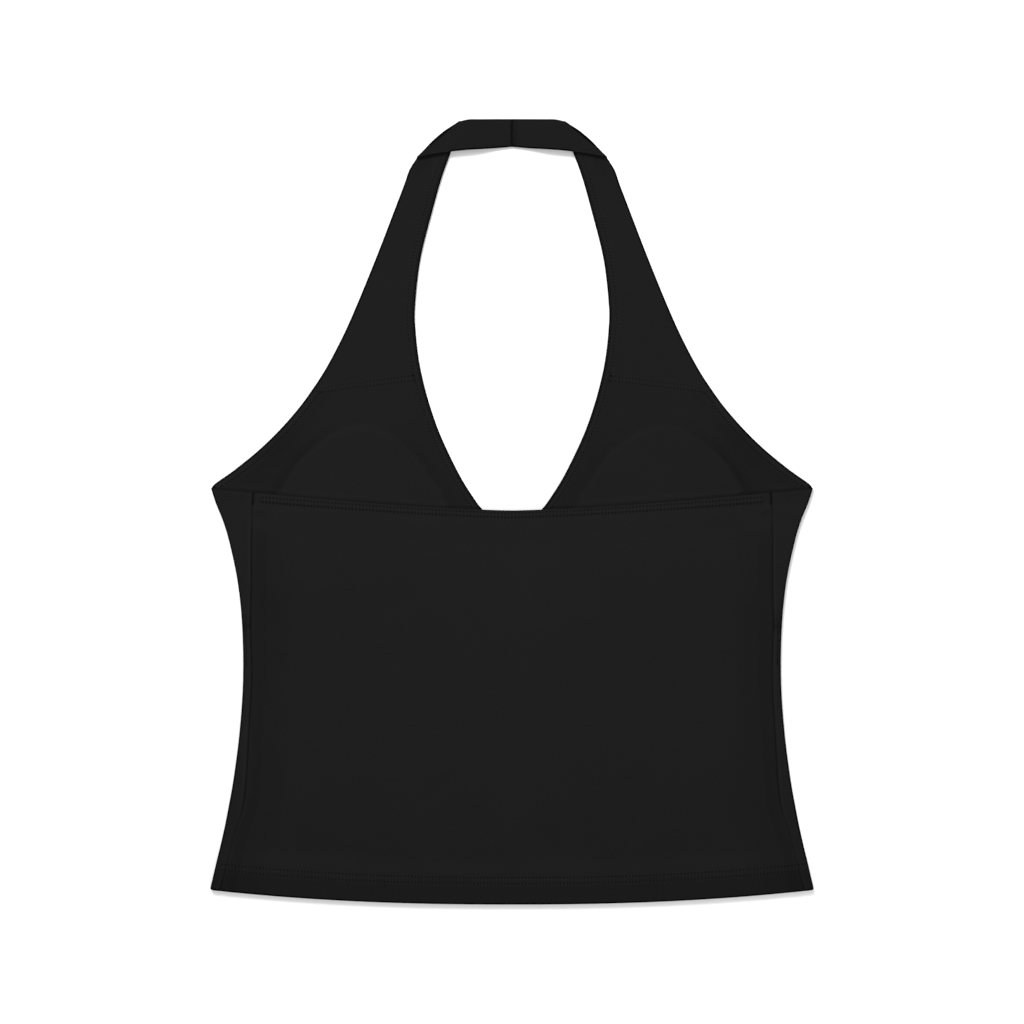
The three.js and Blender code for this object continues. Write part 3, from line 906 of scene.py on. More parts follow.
def wrap_painted_shading(x, y):
    """Painted light and shade of the strip beyond the side seam: a light line beside it, shade in it,
    darker towards the hem, smudges of shade, and shade at the cross seam, the bar and the top edge.
    """
    past_seam = np.abs(x) - seam_at(y)
    crisp = np.minimum(seam_depth(y), 1)
    tone = (0.16 * bump(past_seam - 1.5, 0.8) * crisp
            - SEAM_PAINTED_SHADE * bump(past_seam, 0.5) * crisp)
    tone = tone + hem_painted_shade(x, y) - 0.09 * (1 - smoothstep(hem_offset(x, y), 20, 120))
    for (at_x, at_y), size, strength in SMUDGES:
        tone = tone - strength * bump(np.hypot(x - at_x, y - at_y), size)
    cross = y - bust_seam_y(x)
    tone = tone - 0.2 * bump(cross - 3.6, 3.6) * (past_seam > -3) * (past_seam < 9)
    tone = tone - 0.3 * bump(cross + 0.6, 0.9)
    return tone + bar_painted_shade(past_seam, y) - 0.3 * bump(top_offset(x, y), 0.6)


EDGE_DARK = 1.0  # an outer edge turns away into its own shade
FOLD_REACH = 1.0
FOLD_NEXT_DARK = 0.45  # the share of that darkness that the band has next to the shoulder fold
# Painted light that offsets the shade of the band's edge where it laps over the strap.
LAP_LIGHT = 0.5
LAP_ENDS = (38, 41)  # the band lies over the strap from between these places outwards


# Painted shade at an outer edge, by how far in a place lies.
def edge_painted_shade(distance, reach=1.35):
    return -EDGE_DARK * (1 - smoothstep(distance, 0.45 * reach, reach))


def body_traits(points):
    """For the front: rows at the hem, and the edges at hem and side fold in their own shade."""
    x, y = points[..., 0], points[..., 1]
    gap = nearest_row(hem_offset(x, y), HEM_ROWS)
    edges = np.minimum(edge_painted_shade(side_at(y) + FOLD_OUT - np.abs(x)) * (y < TOP_EDGE_END),
                       edge_painted_shade(hem_offset(x, y)))
    return traits_for(x, gap, x, wrap_painted_shading(x, y) + edges)


def roll_traits(offsets, lapped=()):
    """For a rolled edge: painted shade, near black along the outline, by how far in each column lies.
    Where the band laps over the strap its edge is no outline, and is painted lighter against its own
    shade."""
    def traits_of(points):
        tone = np.array(np.broadcast_to(edge_painted_shade(np.maximum(offsets, 0)), points.shape[:2]))
        for row, share in lapped:
            tone[row] *= share
        return traits_for(points[..., 0], tone=tone)
    return traits_of


def band_painted_shading(x, y):
    """The band, all painted: darker against the more light that falls on it, shade in its centre
    back seam, light on one side of the seam and softer shade on the other.
    """
    wavy = 0.25 * np.sin(y * 1.3) + 0.15 * np.sin(y * 2.9 + 1)
    seam = -0.5 * bump(x - wavy, 0.65) + 0.05 * bump(x + 1.7, 0.7)
    return seam - 0.15 * bump(x - 1.9, 1.3) - 0.12 - 0.03 * bump(x, 22)


def strap_traits(first, rows):
    """Traits of the strap's grid, whose rows from the first on are these: the fold's outline and
    the band have painted light and shade of their own."""
    def traits_of(points):
        traits = body_traits(points)
        for index, (kind, at) in enumerate(rows):
            row = traits[first + index]
            x, y = points[first + index, :, 0], points[first + index, :, 1]
            if kind == "strap":
                continue
            row[:, 0] = band_painted_shading(x, y) if kind == "band" or at > 0 else 0
            if kind == "fold":
                row[:, 0] += edge_painted_shade(0.6 * (1 - math.cos(at)), FOLD_REACH)
            elif at == 0:
                row[:, 0] -= FOLD_NEXT_DARK * EDGE_DARK
            row[:, 1] = FAR_FROM_ROWS
        return traits
    return traits_of


# ---- Front of the garment: lies lowest, turns round the sides, ends at the side seams ----
ARC_STEPS = 8
FOLD_OUT = 0.1  # the side fold swells a little past its line
FRONT_MIDDLES = 52
WRAP_FAR = (0.02, 0.3, 0.8, 1.5, 2.4, 3.4)
WRAP_MIDDLES = 5


def settle_line(y_at):
    """Where a line across the body meets the side fold and the neck edge."""
    side, inner = CORNER_HALF, 0.0
    for _ in range(12):
        side = float(side_at(y_at(side)))
        inner = 0.0 if y_at(0.0) < V_BOTTOM + 0.01 else float(neck_at(y_at(inner)))
    return side, inner


def front_row(y_at, drop, neck_in=0.0):
    """Points from the middle, or the neck edge, to the side fold, round it and to the seam."""
    side, inner = settle_line(y_at)
    y_side = float(y_at(side))
    low = float(front_bottom(side, y_side))
    high = float(wrap_top(np.array(side), y_side))
    radius = (high - low) / 2
    middle_x, middle_z = side + FOLD_OUT - radius - HALF_WALL, (low + high) / 2
    start = inner + neck_in
    near = (0.0,) + FROM_EDGE
    x = start + spread(middle_x - start, near, near, FRONT_MIDDLES)
    y = y_at(x)
    front = np.stack([x, y, front_bottom(x, y) + drop], -1)
    angles = np.linspace(-math.pi / 2, math.pi / 2, ARC_STEPS + 1)[1:-1]
    arc = np.stack([middle_x + (radius - drop) * np.cos(angles), np.full(len(angles), y_side),
                    middle_z + (radius - drop) * np.sin(angles)], -1)
    end = float(seam_at(y_side))
    x = middle_x - spread(middle_x - end, (0.0, 0.6), WRAP_FAR, WRAP_MIDDLES)
    y = y_at(x)
    wrap = np.stack([x, y, wrap_top(x, y) - drop], -1)
    return front, np.concatenate([front[-1:], arc, wrap])


def front_grids(rows):
    """The grid of the front and that of its wrap, from what front_row takes for each row."""
    return [np.stack(part) for part in zip(*(front_row(*row) for row in rows))]


def add_both_sides(sheet, over, under, traits_of=body_traits):
    """A patch whose outer face looks down or out, for x > 0, and its mirror image. The outer face
    is 'under' for the way the rows run, so the pair is swapped."""
    for sign in (1, -1):
        sheet.half(sign, under, over, traits_of(over * (sign, 1, 1)))


def make_front_lower():
    sheet = ThickSheet()
    hem = TurnedEdge(HEM_DEPTH, TURNED_RADIUS)
    profile = hem.profile(BODY_OFFSETS + SEAM_OFFSETS)
    over, under = (front_grids((line_above_hem(offset), drop) for offset, drop in face.T)
                   for face in profile)
    for faces in zip(over, under):
        add_both_sides(sheet, *faces)
    return sheet.mesh("Front_lower")


# ---- Straps and neck band ----
ROLL_RADIUS = 0.72
RIB_PARTS = 9
NECK_SKEW = 1.3  # near the V the ribs cross the neck edge at a slant


def edge_profile(roll):
    return TurnedEdge(roll, ROLL_RADIUS, steps_in=1, steps_round=6)


FOLD_MIDDLE = 2.45
FOLD_ANGLES = np.linspace(-math.pi / 2, math.pi / 2, 11)[1:-1]
FOLD_BOW = 0.2  # the fold's line stands out a little at its middle
FOLD_MOST = 0.72  # the fold is pressed flat: its plan reach as a share of a round fold's
FOLD_ENDS = (0.3, 0.1)  # the same at its neck end and its armhole end
BAND_SHELL_TOP = 2.3  # at centre back, where the band lies lowest


def row_ends(row):
    """The neck and armhole end of a row, given as its kind and its rib, or its angle at the fold."""
    kind, at = row
    if kind == "band":
        return band_ends(at)
    return strap_ends(at if kind == "strap" else FOLD_RIB)


def strap_point_row(row, distances, drop):
    """Points of a row at distances from its neck end, a drop above the shell's middle before the
    fold and below it in the band."""
    kind, angle = row
    neck, arm = row_ends(row)
    run = arm - neck
    width = np.hypot(*run)
    along = run / width
    distances = np.asarray(distances, float)
    plan = neck + np.outer(distances, along)
    drop = np.broadcast_to(np.asarray(drop, float), distances.shape)
    if kind == "strap":
        z = HALF_WALL + drop
    elif kind == "fold":
        outward = np.array((-along[1], along[0]))
        share = distances / width
        reach = FOLD_MIDDLE - HALF_WALL - drop
        stand = lerp(FOLD_ENDS[0], FOLD_MOST, smoothstep(share, 0.03, 0.36))
        stand = lerp(stand, FOLD_ENDS[1], smoothstep(share, 0.5, 1))
        bow = FOLD_BOW * 4 * share * (1 - share) * math.cos(angle)
        plan = plan + (reach * stand * math.cos(angle) + bow)[:, None] * outward
        z = FOLD_MIDDLE + reach * math.sin(angle)
    else:
        x = plan[:, 0]
        flat = band_lift(x) + 2 * FOLD_MIDDLE - BAND_LIFT - HALF_WALL - drop
        pressed = np.clip(flat / BAND_SHELL_TOP, 0, 1)
        z = flat + pressed**2 * band_relief(x, plan[:, 1], distances / width)
    return np.column_stack([plan, z])


def band_relief(x, y, share):
    """The band is a little fuller in its middle, and drawn in at the centre back seam."""
    full = 0.12 * np.sin(math.pi * np.clip(share, 0, 1))
    depth = 0.8 + 0.12 * np.sin(y * 1.1)
    return full - depth * bump(x, 0.8) + 0.14 * bump(np.abs(x) - 2.0, 1.1)


BAND_RIB_LENGTH = 14  # the band's last stretch, with closer rows towards the centre back seam
CENTRE_STEPS = (12, 10, 8.4, 7, 5.8, 4.8, 4, 3.3, 2.7, 2.2, 1.8, 1.4, 1.1, 0.8, 0.5, 0.25, 0)


def strap_rows():
    """All rows of strap, fold and band: each its kind, and its rib or its angle round the fold."""
    ribs = [("strap", rib) for rib in np.linspace(0, FOLD_RIB, FOLD_RIB * RIB_PARTS + 1)[4:]]
    fold = [("fold", angle) for angle in FOLD_ANGLES]
    near_seam = BAND_RIBS["rib"][-1] - np.array(CENTRE_STEPS) / BAND_RIB_LENGTH
    band = [("band", rib) for rib in np.r_[np.linspace(0, 3, 28), near_seam]]
    return ribs + fold + band


def row_slants(row):
    """How much longer distances in from the neck and from the armhole edge are along a row."""
    kind, at = row
    if kind == "strap":
        return slants(strap_ends, at, FOLD_RIB)
    if kind == "fold":
        share = smoothstep(at, -math.pi / 2, math.pi / 2)
        before = slants(strap_ends, FOLD_RIB, FOLD_RIB)
        after = slants(band_ends, 0.0, BAND_RIBS["rib"][-1])
        return [lerp(a, b, share) for a, b in zip(before, after)]
    return slants(band_ends, at, BAND_RIBS["rib"][-1])


def edge_spread(row, near, far, middles):
    """Distances along a row whose outer ones keep their true distance in from both edges."""
    width = row_width(row)
    by_neck, by_arm = row_slants(row)
    room = width / 2 - 0.8
    lists = []
    for steps, slant in ((near, by_neck), (far, by_arm)):
        first, last = steps[0] * slant, steps[-1] * slant
        squeeze = min(1.0, (room - first) / (last - first))
        lists.append(tuple(first + (d * slant - first) * squeeze for d in steps))
    return spread(width, lists[0], lists[1], middles)


def row_width(row):
    neck, arm = row_ends(row)
    return float(np.hypot(*(arm - neck)))


def lapped_rows(rows):
    """The rows of the armhole's roll at the fold and in the band: their place, counted with the
    first rib, and what their painted shade is multiplied by. Over the strap it turns to painted light."""
    made = []
    for index, (kind, at) in enumerate(rows):
        if kind == "fold" and at > 0:
            made.append((index + 1, -LAP_LIGHT))
        if kind == "band":
            past = abs(band_ends(at)[1][0])
            made.append((index + 1, 1 - (1 + LAP_LIGHT) * smoothstep(past, *LAP_ENDS)))
    return made


def make_front_upper():
    sheet = ThickSheet()
    roll, arm_roll = edge_profile(NECK_ROLL), edge_profile(ARM_ROLL)
    offsets = [BUST_LENGTH - d for d in (0.0, 0.4, 1.0, 1.8, 3.0)]
    offsets += sorted(BUST_OFFSETS, reverse=True) + [0.7, 0.3, 0.0]
    start = roll.start

    def neck_in(offset):
        grown = smoothstep(np.array(BUST_LENGTH - offset), V_LENGTH, V_LENGTH + 5)
        return float(grown) * start * NECK_SKEW

    (over_front, over_wrap), (under_front, under_wrap) = (
        front_grids((line_below_top(offset), drop, neck_in(offset)) for offset in offsets)
        for drop in (-HALF_WALL, HALF_WALL))
    add_both_sides(sheet, over_wrap, under_wrap)
    # The strap carries on from the bust's last row.
    rows = strap_rows()
    near = tuple(start + d for d in (0.0,) + FROM_EDGE)
    over, under = (
        np.stack([strap_point_row(row, edge_spread(row, near, near, FRONT_MIDDLES), drop)
                  for row in rows])
        for drop in (-HALF_WALL, HALF_WALL))
    add_both_sides(sheet, np.concatenate([over_front, over]), np.concatenate([under_front, under]),
                   strap_traits(len(over_front), rows))
    # Rolled edges: at the neck from the V upwards, at the armhole from the corner upwards.
    v_rows = [offset for offset in offsets if BUST_LENGTH - offset >= V_LENGTH - 0.01]
    neck_faces, arm_faces = [], []
    for offset_in, drop in (roll.over, roll.under):
        body = []
        for offset in v_rows:
            y_at = line_below_top(offset)
            _, inner = settle_line(y_at)
            grown = neck_in(offset)
            x = inner + offset_in * grown / start
            body.append(np.column_stack([x, y_at(x), HALF_WALL + drop * min(1, grown / start)]))
        strap = [strap_point_row(row, offset_in * row_slants(row)[0], drop) for row in rows]
        neck_faces.append(np.stack(body + strap))
    for offset_in, drop in (arm_roll.over, arm_roll.under):
        arm_faces.append(np.stack([
            strap_point_row(row, row_width(row) - offset_in * row_slants(row)[1], drop)[::-1]
            for row in [("strap", 0.0)] + rows]))
    add_both_sides(sheet, *neck_faces, roll_traits(roll.over[0]))
    add_both_sides(sheet, *arm_faces, roll_traits(arm_roll.over[0][::-1], lapped_rows(rows)))
    return sheet.mesh("Front_upper")


# ---- Lining and facings ----
LINING_WALL = 0.8
LINING_MIDDLES = 56
LINING_SIDE_INSET = 2.4
VALLEY_DEPTH = 0.3
NECK_ROW_FAINT = 0.2  # the neck row sinks into soft cloth and shows least


def edge_steps(roll):
    """True distances in from an edge: from where the shell's roll ends to past the stitched row."""
    return (tuple(roll + d for d in (0, 0.15, 0.4, 0.8, 1.3))
            + (3.4, 3.9, 4.2, 4.4, EDGE_ROW, 4.8, 5.0, 5.4, 6.1, 7.1, 8.3, 9.7))


def edge_round(distance, size=0.45):
    """Rounds a raw or folded edge: the share of the wall that is there at a distance from it."""
    t = np.clip(distance / size, 0, 1)
    return 0.25 + 0.75 * np.sqrt(np.clip(1 - (1 - t) ** 2, 0, 1))


def seam_line_y(x):
    neck, arm = strap_ends(LINING_SEAM_RIB)
    share = (np.abs(x) - neck[0]) / (arm[0] - neck[0])
    return lerp(neck[1], arm[1], share)


# The two rows that hold lining and facing together lie on both sides of their seam. Each runs
# between an inset from the neck edge and one from the armhole edge.
SEAM_EDGE = 0.004  # in ribs: cloth keeps its full level up to this near the seam
SEAM_ROWS = ((-0.4, 5.6, 7.0), (3.2, 6.2, 9.4))


class LiningPlaces:
    """Places on lining or facing: where they are in plan, and how far in from both edges."""

    def __init__(self, x, y, from_neck, from_arm, neck_run, arm_run, arm_row):
        self.x, self.y, self.from_neck, self.from_arm = x, y, from_neck, from_arm
        self.neck_run, self.arm_run, self.arm_row = neck_run, arm_run, arm_row

    @classmethod
    def on_rib(cls, rib, at=None, arm_row=0.0):
        """Along one rib. Without distances, the whole width in steps that suit the stitching."""
        row = ("strap", rib)
        neck, arm = strap_ends(rib)
        width = row_width(row)
        by_neck, by_arm = row_slants(row)
        if at is None:
            at = edge_spread(row, edge_steps(NECK_ROLL), edge_steps(ARM_ROLL), LINING_MIDDLES)
        at = np.asarray(at, float)
        plan = neck + np.outer(at, (arm - neck) / width)
        flat = np.ones(len(at))
        return cls(plan[:, 0], plan[:, 1], at / by_neck, (width - at) / by_arm,
                   flat * np.interp(rib, RUN_RIBS, NECK_RUN),
                   flat * np.interp(rib, RUN_RIBS, ARM_RUN), flat * arm_row)

    @classmethod
    def on_line(cls, y_at):
        """Along a line across the body, from the middle or the neck edge to the side."""
        side, inner = settle_line(y_at)
        by_neck = row_slants(("strap", 0.0))[0]
        start = NECK_ROLL * by_neck if inner > 0 else 0.0
        steps = [start + (d - NECK_ROLL) * by_neck for d in edge_steps(NECK_ROLL)]
        far = [(d - ARM_ROLL) * MOST_SLANT for d in edge_steps(ARM_ROLL)]
        x = inner + spread(side - LINING_SIDE_INSET - inner, steps, far, LINING_MIDDLES)
        y = np.maximum(y_at(x), bust_seam_y(x) + 1.5)
        far = np.full(len(x), 99.0)
        from_neck = (x - inner) / by_neck if inner > 0 else far
        return cls(x, y, from_neck, far, y, far, 0 * far)

    @classmethod
    def stack(cls, places):
        fields = ("x", "y", "from_neck", "from_arm", "neck_run", "arm_run", "arm_row")
        return cls(*(np.stack([getattr(each, name) for each in places]) for name in fields))

    def above_seam(self):
        return self.y - seam_line_y(self.x)

    def relief(self):
        """How the stitched rows draw the cloth down and let it stand up beside them."""
        neck = stitched_relief(self.from_neck, (EDGE_ROW,)) + 0.14 * bump(self.from_neck - 3.0, 0.9)
        arm = stitched_relief(self.from_arm, (EDGE_ROW,)) + 0.16 * bump(self.from_arm - 2.8, 0.9)
        above = self.above_seam()
        seam = 0.1 * bump(above - 1.4, 2.4)
        seam = seam - 0.16 * sum(bump(above - row[0], 0.5) for row in SEAM_ROWS)
        return neck + arm * self.arm_row + seam

    def level(self, sign):
        """The top of the lining or facing, on the right (sign 1) or the left."""
        valley = VALLEY_DEPTH * pad_valley(self.x, self.y)
        return lining_low(self.x * sign, self.y) + LINING_WALL + self.relief() - valley

    def wall(self):
        return LINING_WALL * edge_round(self.from_neck - NECK_ROLL) * edge_round(
            self.from_arm - ARM_ROLL)

    def traits(self, sign):
        above = self.above_seam()
        gaps = [np.abs(self.from_neck - EDGE_ROW),
                np.where(self.arm_row > 0, np.abs(self.from_arm - EDGE_ROW), FAR_FROM_ROWS)]
        for row, from_neck, from_arm in SEAM_ROWS:
            inside = (self.from_neck > from_neck * 0.8) & (self.from_arm > from_arm * 0.62)
            gaps.append(np.where(inside, np.abs(above - row), FAR_FROM_ROWS))
        nearest = np.argmin(gaps, axis=0)
        gaps[0] = gaps[0] + NECK_ROW_FAINT
        run = np.choose(nearest, [self.neck_run, self.arm_run, self.x, self.x])
        share, _ = pad_polar(self.x, self.y)
        low_part = 1 - smoothstep(self.y, 40, 110)
        # Painted light and shade: shade at the shell's rolled edges, light beside the stitched rows,
        # shade in the hollows round the pads and below them, and light along the back's top edge.
        tone = -0.26 * bump(self.from_neck - NECK_ROLL, 0.3) - 0.2 * bump(self.from_arm - ARM_ROLL, 0.3)
        tone = tone + 0.10 * bump(self.from_neck - 3.0, 0.9) * low_part
        tone = tone + (0.12 * bump(self.from_arm - 2.8, 0.9) - 0.06 * bump(self.from_arm - 9, 3.6)
                       ) * self.arm_row
        tone = tone - 0.24 * pad_valley(self.x, self.y)
        tone = tone - 0.07 * smoothstep(share, 1.0, 1.12) * (1 - smoothstep(self.y, 40, 66))
        tone = tone + 0.10 * bump(top_offset(self.x, self.y) + 2.6, 2.0)
        tone = tone + lining_painted_shade(self.x * sign, self.y)
        return traits_for(self.x, np.min(gaps, axis=0), run, tone)


def lining_painted_shade(x, y):
    """Soft shade: beside the band's edge on the straps, and over each lined side."""
    # Painted shade in two creases beside the band's edge, a little lower on the straps, and over each
    # side.
    crease = ridge(np.abs(x), y, (52.5, 228), (55.5, 219), 1.8, 0.16)
    crease = crease + ridge(np.abs(x), y, (58, 224), (61, 214), 3.2, 0.10)
    return -crease - 0.05 * bump(y - 196, 26) - 0.04 * bump(np.abs(x) - 150, 12) * (y < 60)


def lining_faces(places, sign):
    top, wall = places.level(sign), places.wall()
    over = np.stack([places.x, places.y, top - (LINING_WALL - wall) * 0.5], -1)
    return over, over - np.stack([0 * wall, 0 * wall, wall], -1)


def make_lining():
    offsets = sorted([78.2] + BUST_OFFSETS + [BUST_LENGTH - 3, 0.7, 0.0], reverse=True)
    rows = [LiningPlaces.on_line(line_below_top(offset)) for offset in offsets]
    ribs = np.linspace(0, LINING_SEAM_RIB, LINING_SEAM_RIB * RIB_PARTS + 1)[4:]
    ribs = np.r_[ribs[:-1], LINING_SEAM_RIB - SEAM_EDGE, LINING_SEAM_RIB]
    rows += [LiningPlaces.on_rib(rib, arm_row=1.0) for rib in ribs]
    places = LiningPlaces.stack(rows)
    sheet = ThickSheet()
    for sign in (1, -1):
        sheet.half(sign, *lining_faces(places, sign), places.traits(sign))
    return sheet.mesh("Bust_lining")


def make_facing(sign, name):
    ribs = np.linspace(LINING_SEAM_RIB, FOLD_RIB, (FOLD_RIB - LINING_SEAM_RIB) * RIB_PARTS + 1)
    ribs = np.r_[ribs[0], LINING_SEAM_RIB + SEAM_EDGE, ribs[1:]]
    places = LiningPlaces.stack([LiningPlaces.on_rib(rib) for rib in ribs])
    over, under = lining_faces(places, sign)
    settled = smoothstep(ribs, FOLD_RIB - 1.2, FOLD_RIB)[:, None]
    over[..., 2] = lerp(over[..., 2], LINING_LOW + LINING_WALL, settled)
    under[..., 2] = lerp(under[..., 2], LINING_LOW, settled)
    traits = places.traits(sign)
    turn = [("fold", angle) for angle in FOLD_ANGLES]
    band = [("band", rib) for rib in np.linspace(0, 4, 30)]
    rest = []
    for row in turn + band:
        at = edge_spread(row, edge_steps(NECK_ROLL), edge_steps(ARM_ROLL), LINING_MIDDLES)
        high = strap_point_row(row, at, LINING_LOW + LINING_WALL - HALF_WALL)
        low = strap_point_row(row, at, LINING_LOW - HALF_WALL)
        gap = np.abs(at / row_slants(row)[0] - EDGE_ROW)
        rest.append((high, low, traits_for(at, gap, high[:, 0], 0 * at)))
    over, under, traits = (
        np.concatenate([grid, np.stack([row[k] for row in rest])])
        for k, grid in enumerate((over, under, traits)))
    for grid in (over, under):
        grid[..., 0] = np.maximum(grid[..., 0], 0.05)
    return ThickSheet().half(sign, over, under, traits).mesh(name)


# ---- Back panel ----
BACK_NEAR = (0.0, 0.2, 0.5, 0.9, 1.4, 2.1, 3.0, 4.2, 5.6, 7.2, 8.4, 9.6, 11.2)
BACK_MIDDLES = 62
SEAM_GAP = 0.06


def make_back_panel():
    hem = TurnedEdge(HEM_DEPTH, TURNED_RADIUS)
    casing = TurnedEdge(CASING_DEPTH, TURNED_RADIUS, steps_in=4)
    body = hem.profile(BODY_OFFSETS + [BODY_LENGTH - 2.5])
    bust = casing.profile(sorted(BUST_OFFSETS + [BUST_LENGTH - 2.2, BUST_LENGTH]))
    faces = []
    for lower, upper in zip(body, bust):
        rows = [(line_above_hem(offset), drop) for offset, drop in lower.T]
        rows += [(line_below_top(offset), drop) for offset, drop in upper.T[::-1]]
        grid = []
        for y_at, drop in rows:
            half = float(seam_at(y_at(settle_line(y_at)[0]))) - SEAM_GAP
            x = half - spread(half, BACK_NEAR, (0.0,), BACK_MIDDLES)[::-1]
            grid.append((x, y_at(x), np.full(len(x), drop)))
        faces.append([np.stack(part) for part in zip(*grid)])
    sheet = ThickSheet()
    for sign in (1, -1):
        over, under = (np.stack([x, y, back_top(x * sign, y) - drop], -1) for x, y, drop in faces)
        x, y = over[..., 0], over[..., 1]
        casing_gap = nearest_row(casing_offset(x, y), CASING_ROWS)
        gap = np.minimum(nearest_row(hem_offset(x, y), HEM_ROWS),
                         np.where(x < CASING_HALF + 0.3, casing_gap, FAR_FROM_ROWS))
        # Painted light and shade of the back, with painted shade at the hem's edge and along the casing.
        tone = back_painted_shading(x * sign, y) + edge_painted_shade(hem_offset(x, y))
        sheet.half(sign, over, under, traits_for(x, gap, x, tone - casing_painted_shade(x, y)))
    return sheet.mesh("Back_panel")


def casing_painted_shade(x, y):
    """Painted shade, subtracted from the back's painted shading: a line at the top edge, a little over
    the casing, more at its ends, and along the lower row, which is drawn in harder, most of all towards
    the ends.
    """
    offset = casing_offset(x, y)
    harder = 0.12 + 0.2 * smoothstep(np.abs(x), 60, 150)
    edge = 0.25 * bump(top_offset(x, y) - 0.2, 0.35)
    held = (offset > CASING_ROWS[0] - 0.4) & (offset < CASING_ROWS[1] + 0.4)
    edge = edge + 0.4 * bump(np.abs(x) - CASING_HALF, 0.6) * held
    edge = edge + 0.06 * (1 - smoothstep(offset, 4.6, 6.5))
    return edge + harder * bump(offset - CASING_ROWS[1] - 0.1, 0.6) * (np.abs(x) < CASING_HALF)


# ---- Pads ----
PAD_RINGS = np.r_[np.linspace(0, 0.9, 19), 0.93, 0.96, 0.98, 0.993, 1.0]
PAD_DIRECTIONS = 96
PAD_INSIDE = 0.955  # a pad ends inside the hollow that shows round it


def make_pad(sign, name, crown, rim):
    rows_over, rows_under = [], []
    for turn in np.linspace(0, 1, PAD_DIRECTIONS + 1):
        degrees = 360 * turn
        reach = float(pad_reach_at(degrees)) * PAD_INSIDE
        angle = math.radians(degrees % 360)
        x = PAD_CENTRE[0] + PAD_RINGS * reach * math.cos(angle)
        y = PAD_CENTRE[1] + PAD_RINGS * reach * math.sin(angle)
        thick = lerp(crown, rim, PAD_RINGS**2) - 0.1
        from_rim = (1 - PAD_RINGS) * reach
        there = edge_round(from_rim, 0.8)
        channel = 0.12 * bump(from_rim - 3.0, 0.7)
        low = SHELL_WALL + 0.2 + thick * (1 - there) * 0.5
        rows_over.append(np.column_stack([x, y, low + thick * there - channel]))
        rows_under.append(np.column_stack([x, y, low]))
    return ThickSheet().half(sign, np.stack(rows_over), np.stack(rows_under), None).mesh(name)


# ---- Stitching ----
STITCH_SET = 0.02  # the middle of a thread lies this far above the cloth


def on_back(x, y, rise=STITCH_SET):
    return np.column_stack([x, y, back_top(x, y) + HALF_WALL + rise])


def hem_stitches(pitch, thread):
    rows = StitchRows(pitch, thread)
    x = np.linspace(-191, 191, 600)
    for offset in HEM_ROWS:
        y = hem_y(x) + offset
        inside = seam_at(y) - np.abs(x)
        rows.row(on_back(x, y)[inside > 0.5], x[inside > 0.5])
        below = np.column_stack([x, y, front_bottom(x, y) - HALF_WALL + 0.12])
        flat = side_at(y) - np.abs(x) > 2.6
        rows.row(below[flat], x[flat], up=-1)
        for sign in (1, -1):
            strip = (x * sign > 0) & (inside < -0.6) & (side_at(y) - np.abs(x) > 1.5)
            top = np.column_stack([x, y, wrap_top(x, y) + HALF_WALL + STITCH_SET])
            rows.row(top[strip], x[strip])
    return rows


def casing_stitches(pitch, thread):
    rows = StitchRows(pitch, thread)
    x = np.linspace(-CASING_HALF, CASING_HALF, 500)
    for offset in CASING_ROWS:
        rows.row(on_back(x, line_below_top(offset)(x)), x)
    for sign in (1, -1):
        x = np.full(8, sign * CASING_HALF)
        y = np.linspace(*(line_below_top(offset)(x[0]) for offset in reversed(CASING_ROWS)), 8)
        rows.row(on_back(x, y), y - y[0], pitch=1.4)
        x = np.full(24, sign * (float(seam_at(9.0)) - 0.3))
        y = np.linspace(*SEAM_BAR, 24)
        rows.row(on_back(x, y, 0.2), y, pitch=0.7)
    return rows


def edge_stitches(pitch, thread):
    rows = StitchRows(pitch, thread)
    for sign in (1, -1):
        neck_path, neck_run, arm_path, arm_run = [], [], [], []
        for rib in np.linspace(0.2, FOLD_RIB - 0.1, 200):
            by_neck, by_arm = row_slants(("strap", rib))
            width = row_width(("strap", rib))
            at = [EDGE_ROW * by_neck, width - EDGE_ROW * by_arm]
            place = LiningPlaces.on_rib(rib, at, 1.0 if rib < LINING_SEAM_RIB else 0.0)
            level = place.level(sign)
            if rib > FOLD_RIB - 1.2:
                level = lerp(level, LINING_LOW + LINING_WALL,
                             smoothstep(rib, FOLD_RIB - 1.2, FOLD_RIB))
            points = np.column_stack([place.x * sign, place.y, level + STITCH_SET])
            neck_path.append(points[0])
            neck_run.append(place.neck_run[0])
            if rib < LINING_SEAM_RIB - 0.05:
                arm_path.append(points[1])
                arm_run.append(place.arm_run[0])
        rows.row(neck_path, neck_run)
        rows.row(arm_path, arm_run)
        neck, arm = strap_ends(LINING_SEAM_RIB)
        for above, from_neck, from_arm in SEAM_ROWS:
            x = np.linspace(neck[0] + from_neck, arm[0] - from_arm, 80)
            y = seam_line_y(x) + above
            far = np.full(len(x), 50.0)
            place = LiningPlaces(x, y, far, far, far, far, 0 * far)
            rows.row(np.column_stack([x * sign, y, place.level(sign) + STITCH_SET]), x)
    return rows


STITCHING = {"Hem_stitches": hem_stitches, "Casing_stitches": casing_stitches,
             "Edge_stitches": edge_stitches}


# ---- Operators ----
def halter_settings(context):
    return context.scene.halter_sizes, context.scene.halter_colours


class HALTER_OT_front(bpy.types.Operator):
    """Make the two front pieces, with straps, neck band and the turn round the sides"""

    bl_idname = "halter.front"
    bl_label = "Front"

    def execute(self, context):
        _, colours = halter_settings(context)
        shell = cloth_material("Front jersey", "shell_jersey", colours.shell)
        lower = show(make_front_lower(), shell, ["front_lower"])
        upper = show(make_front_upper(), shell, ["front_upper"])
        return {"FINISHED"}


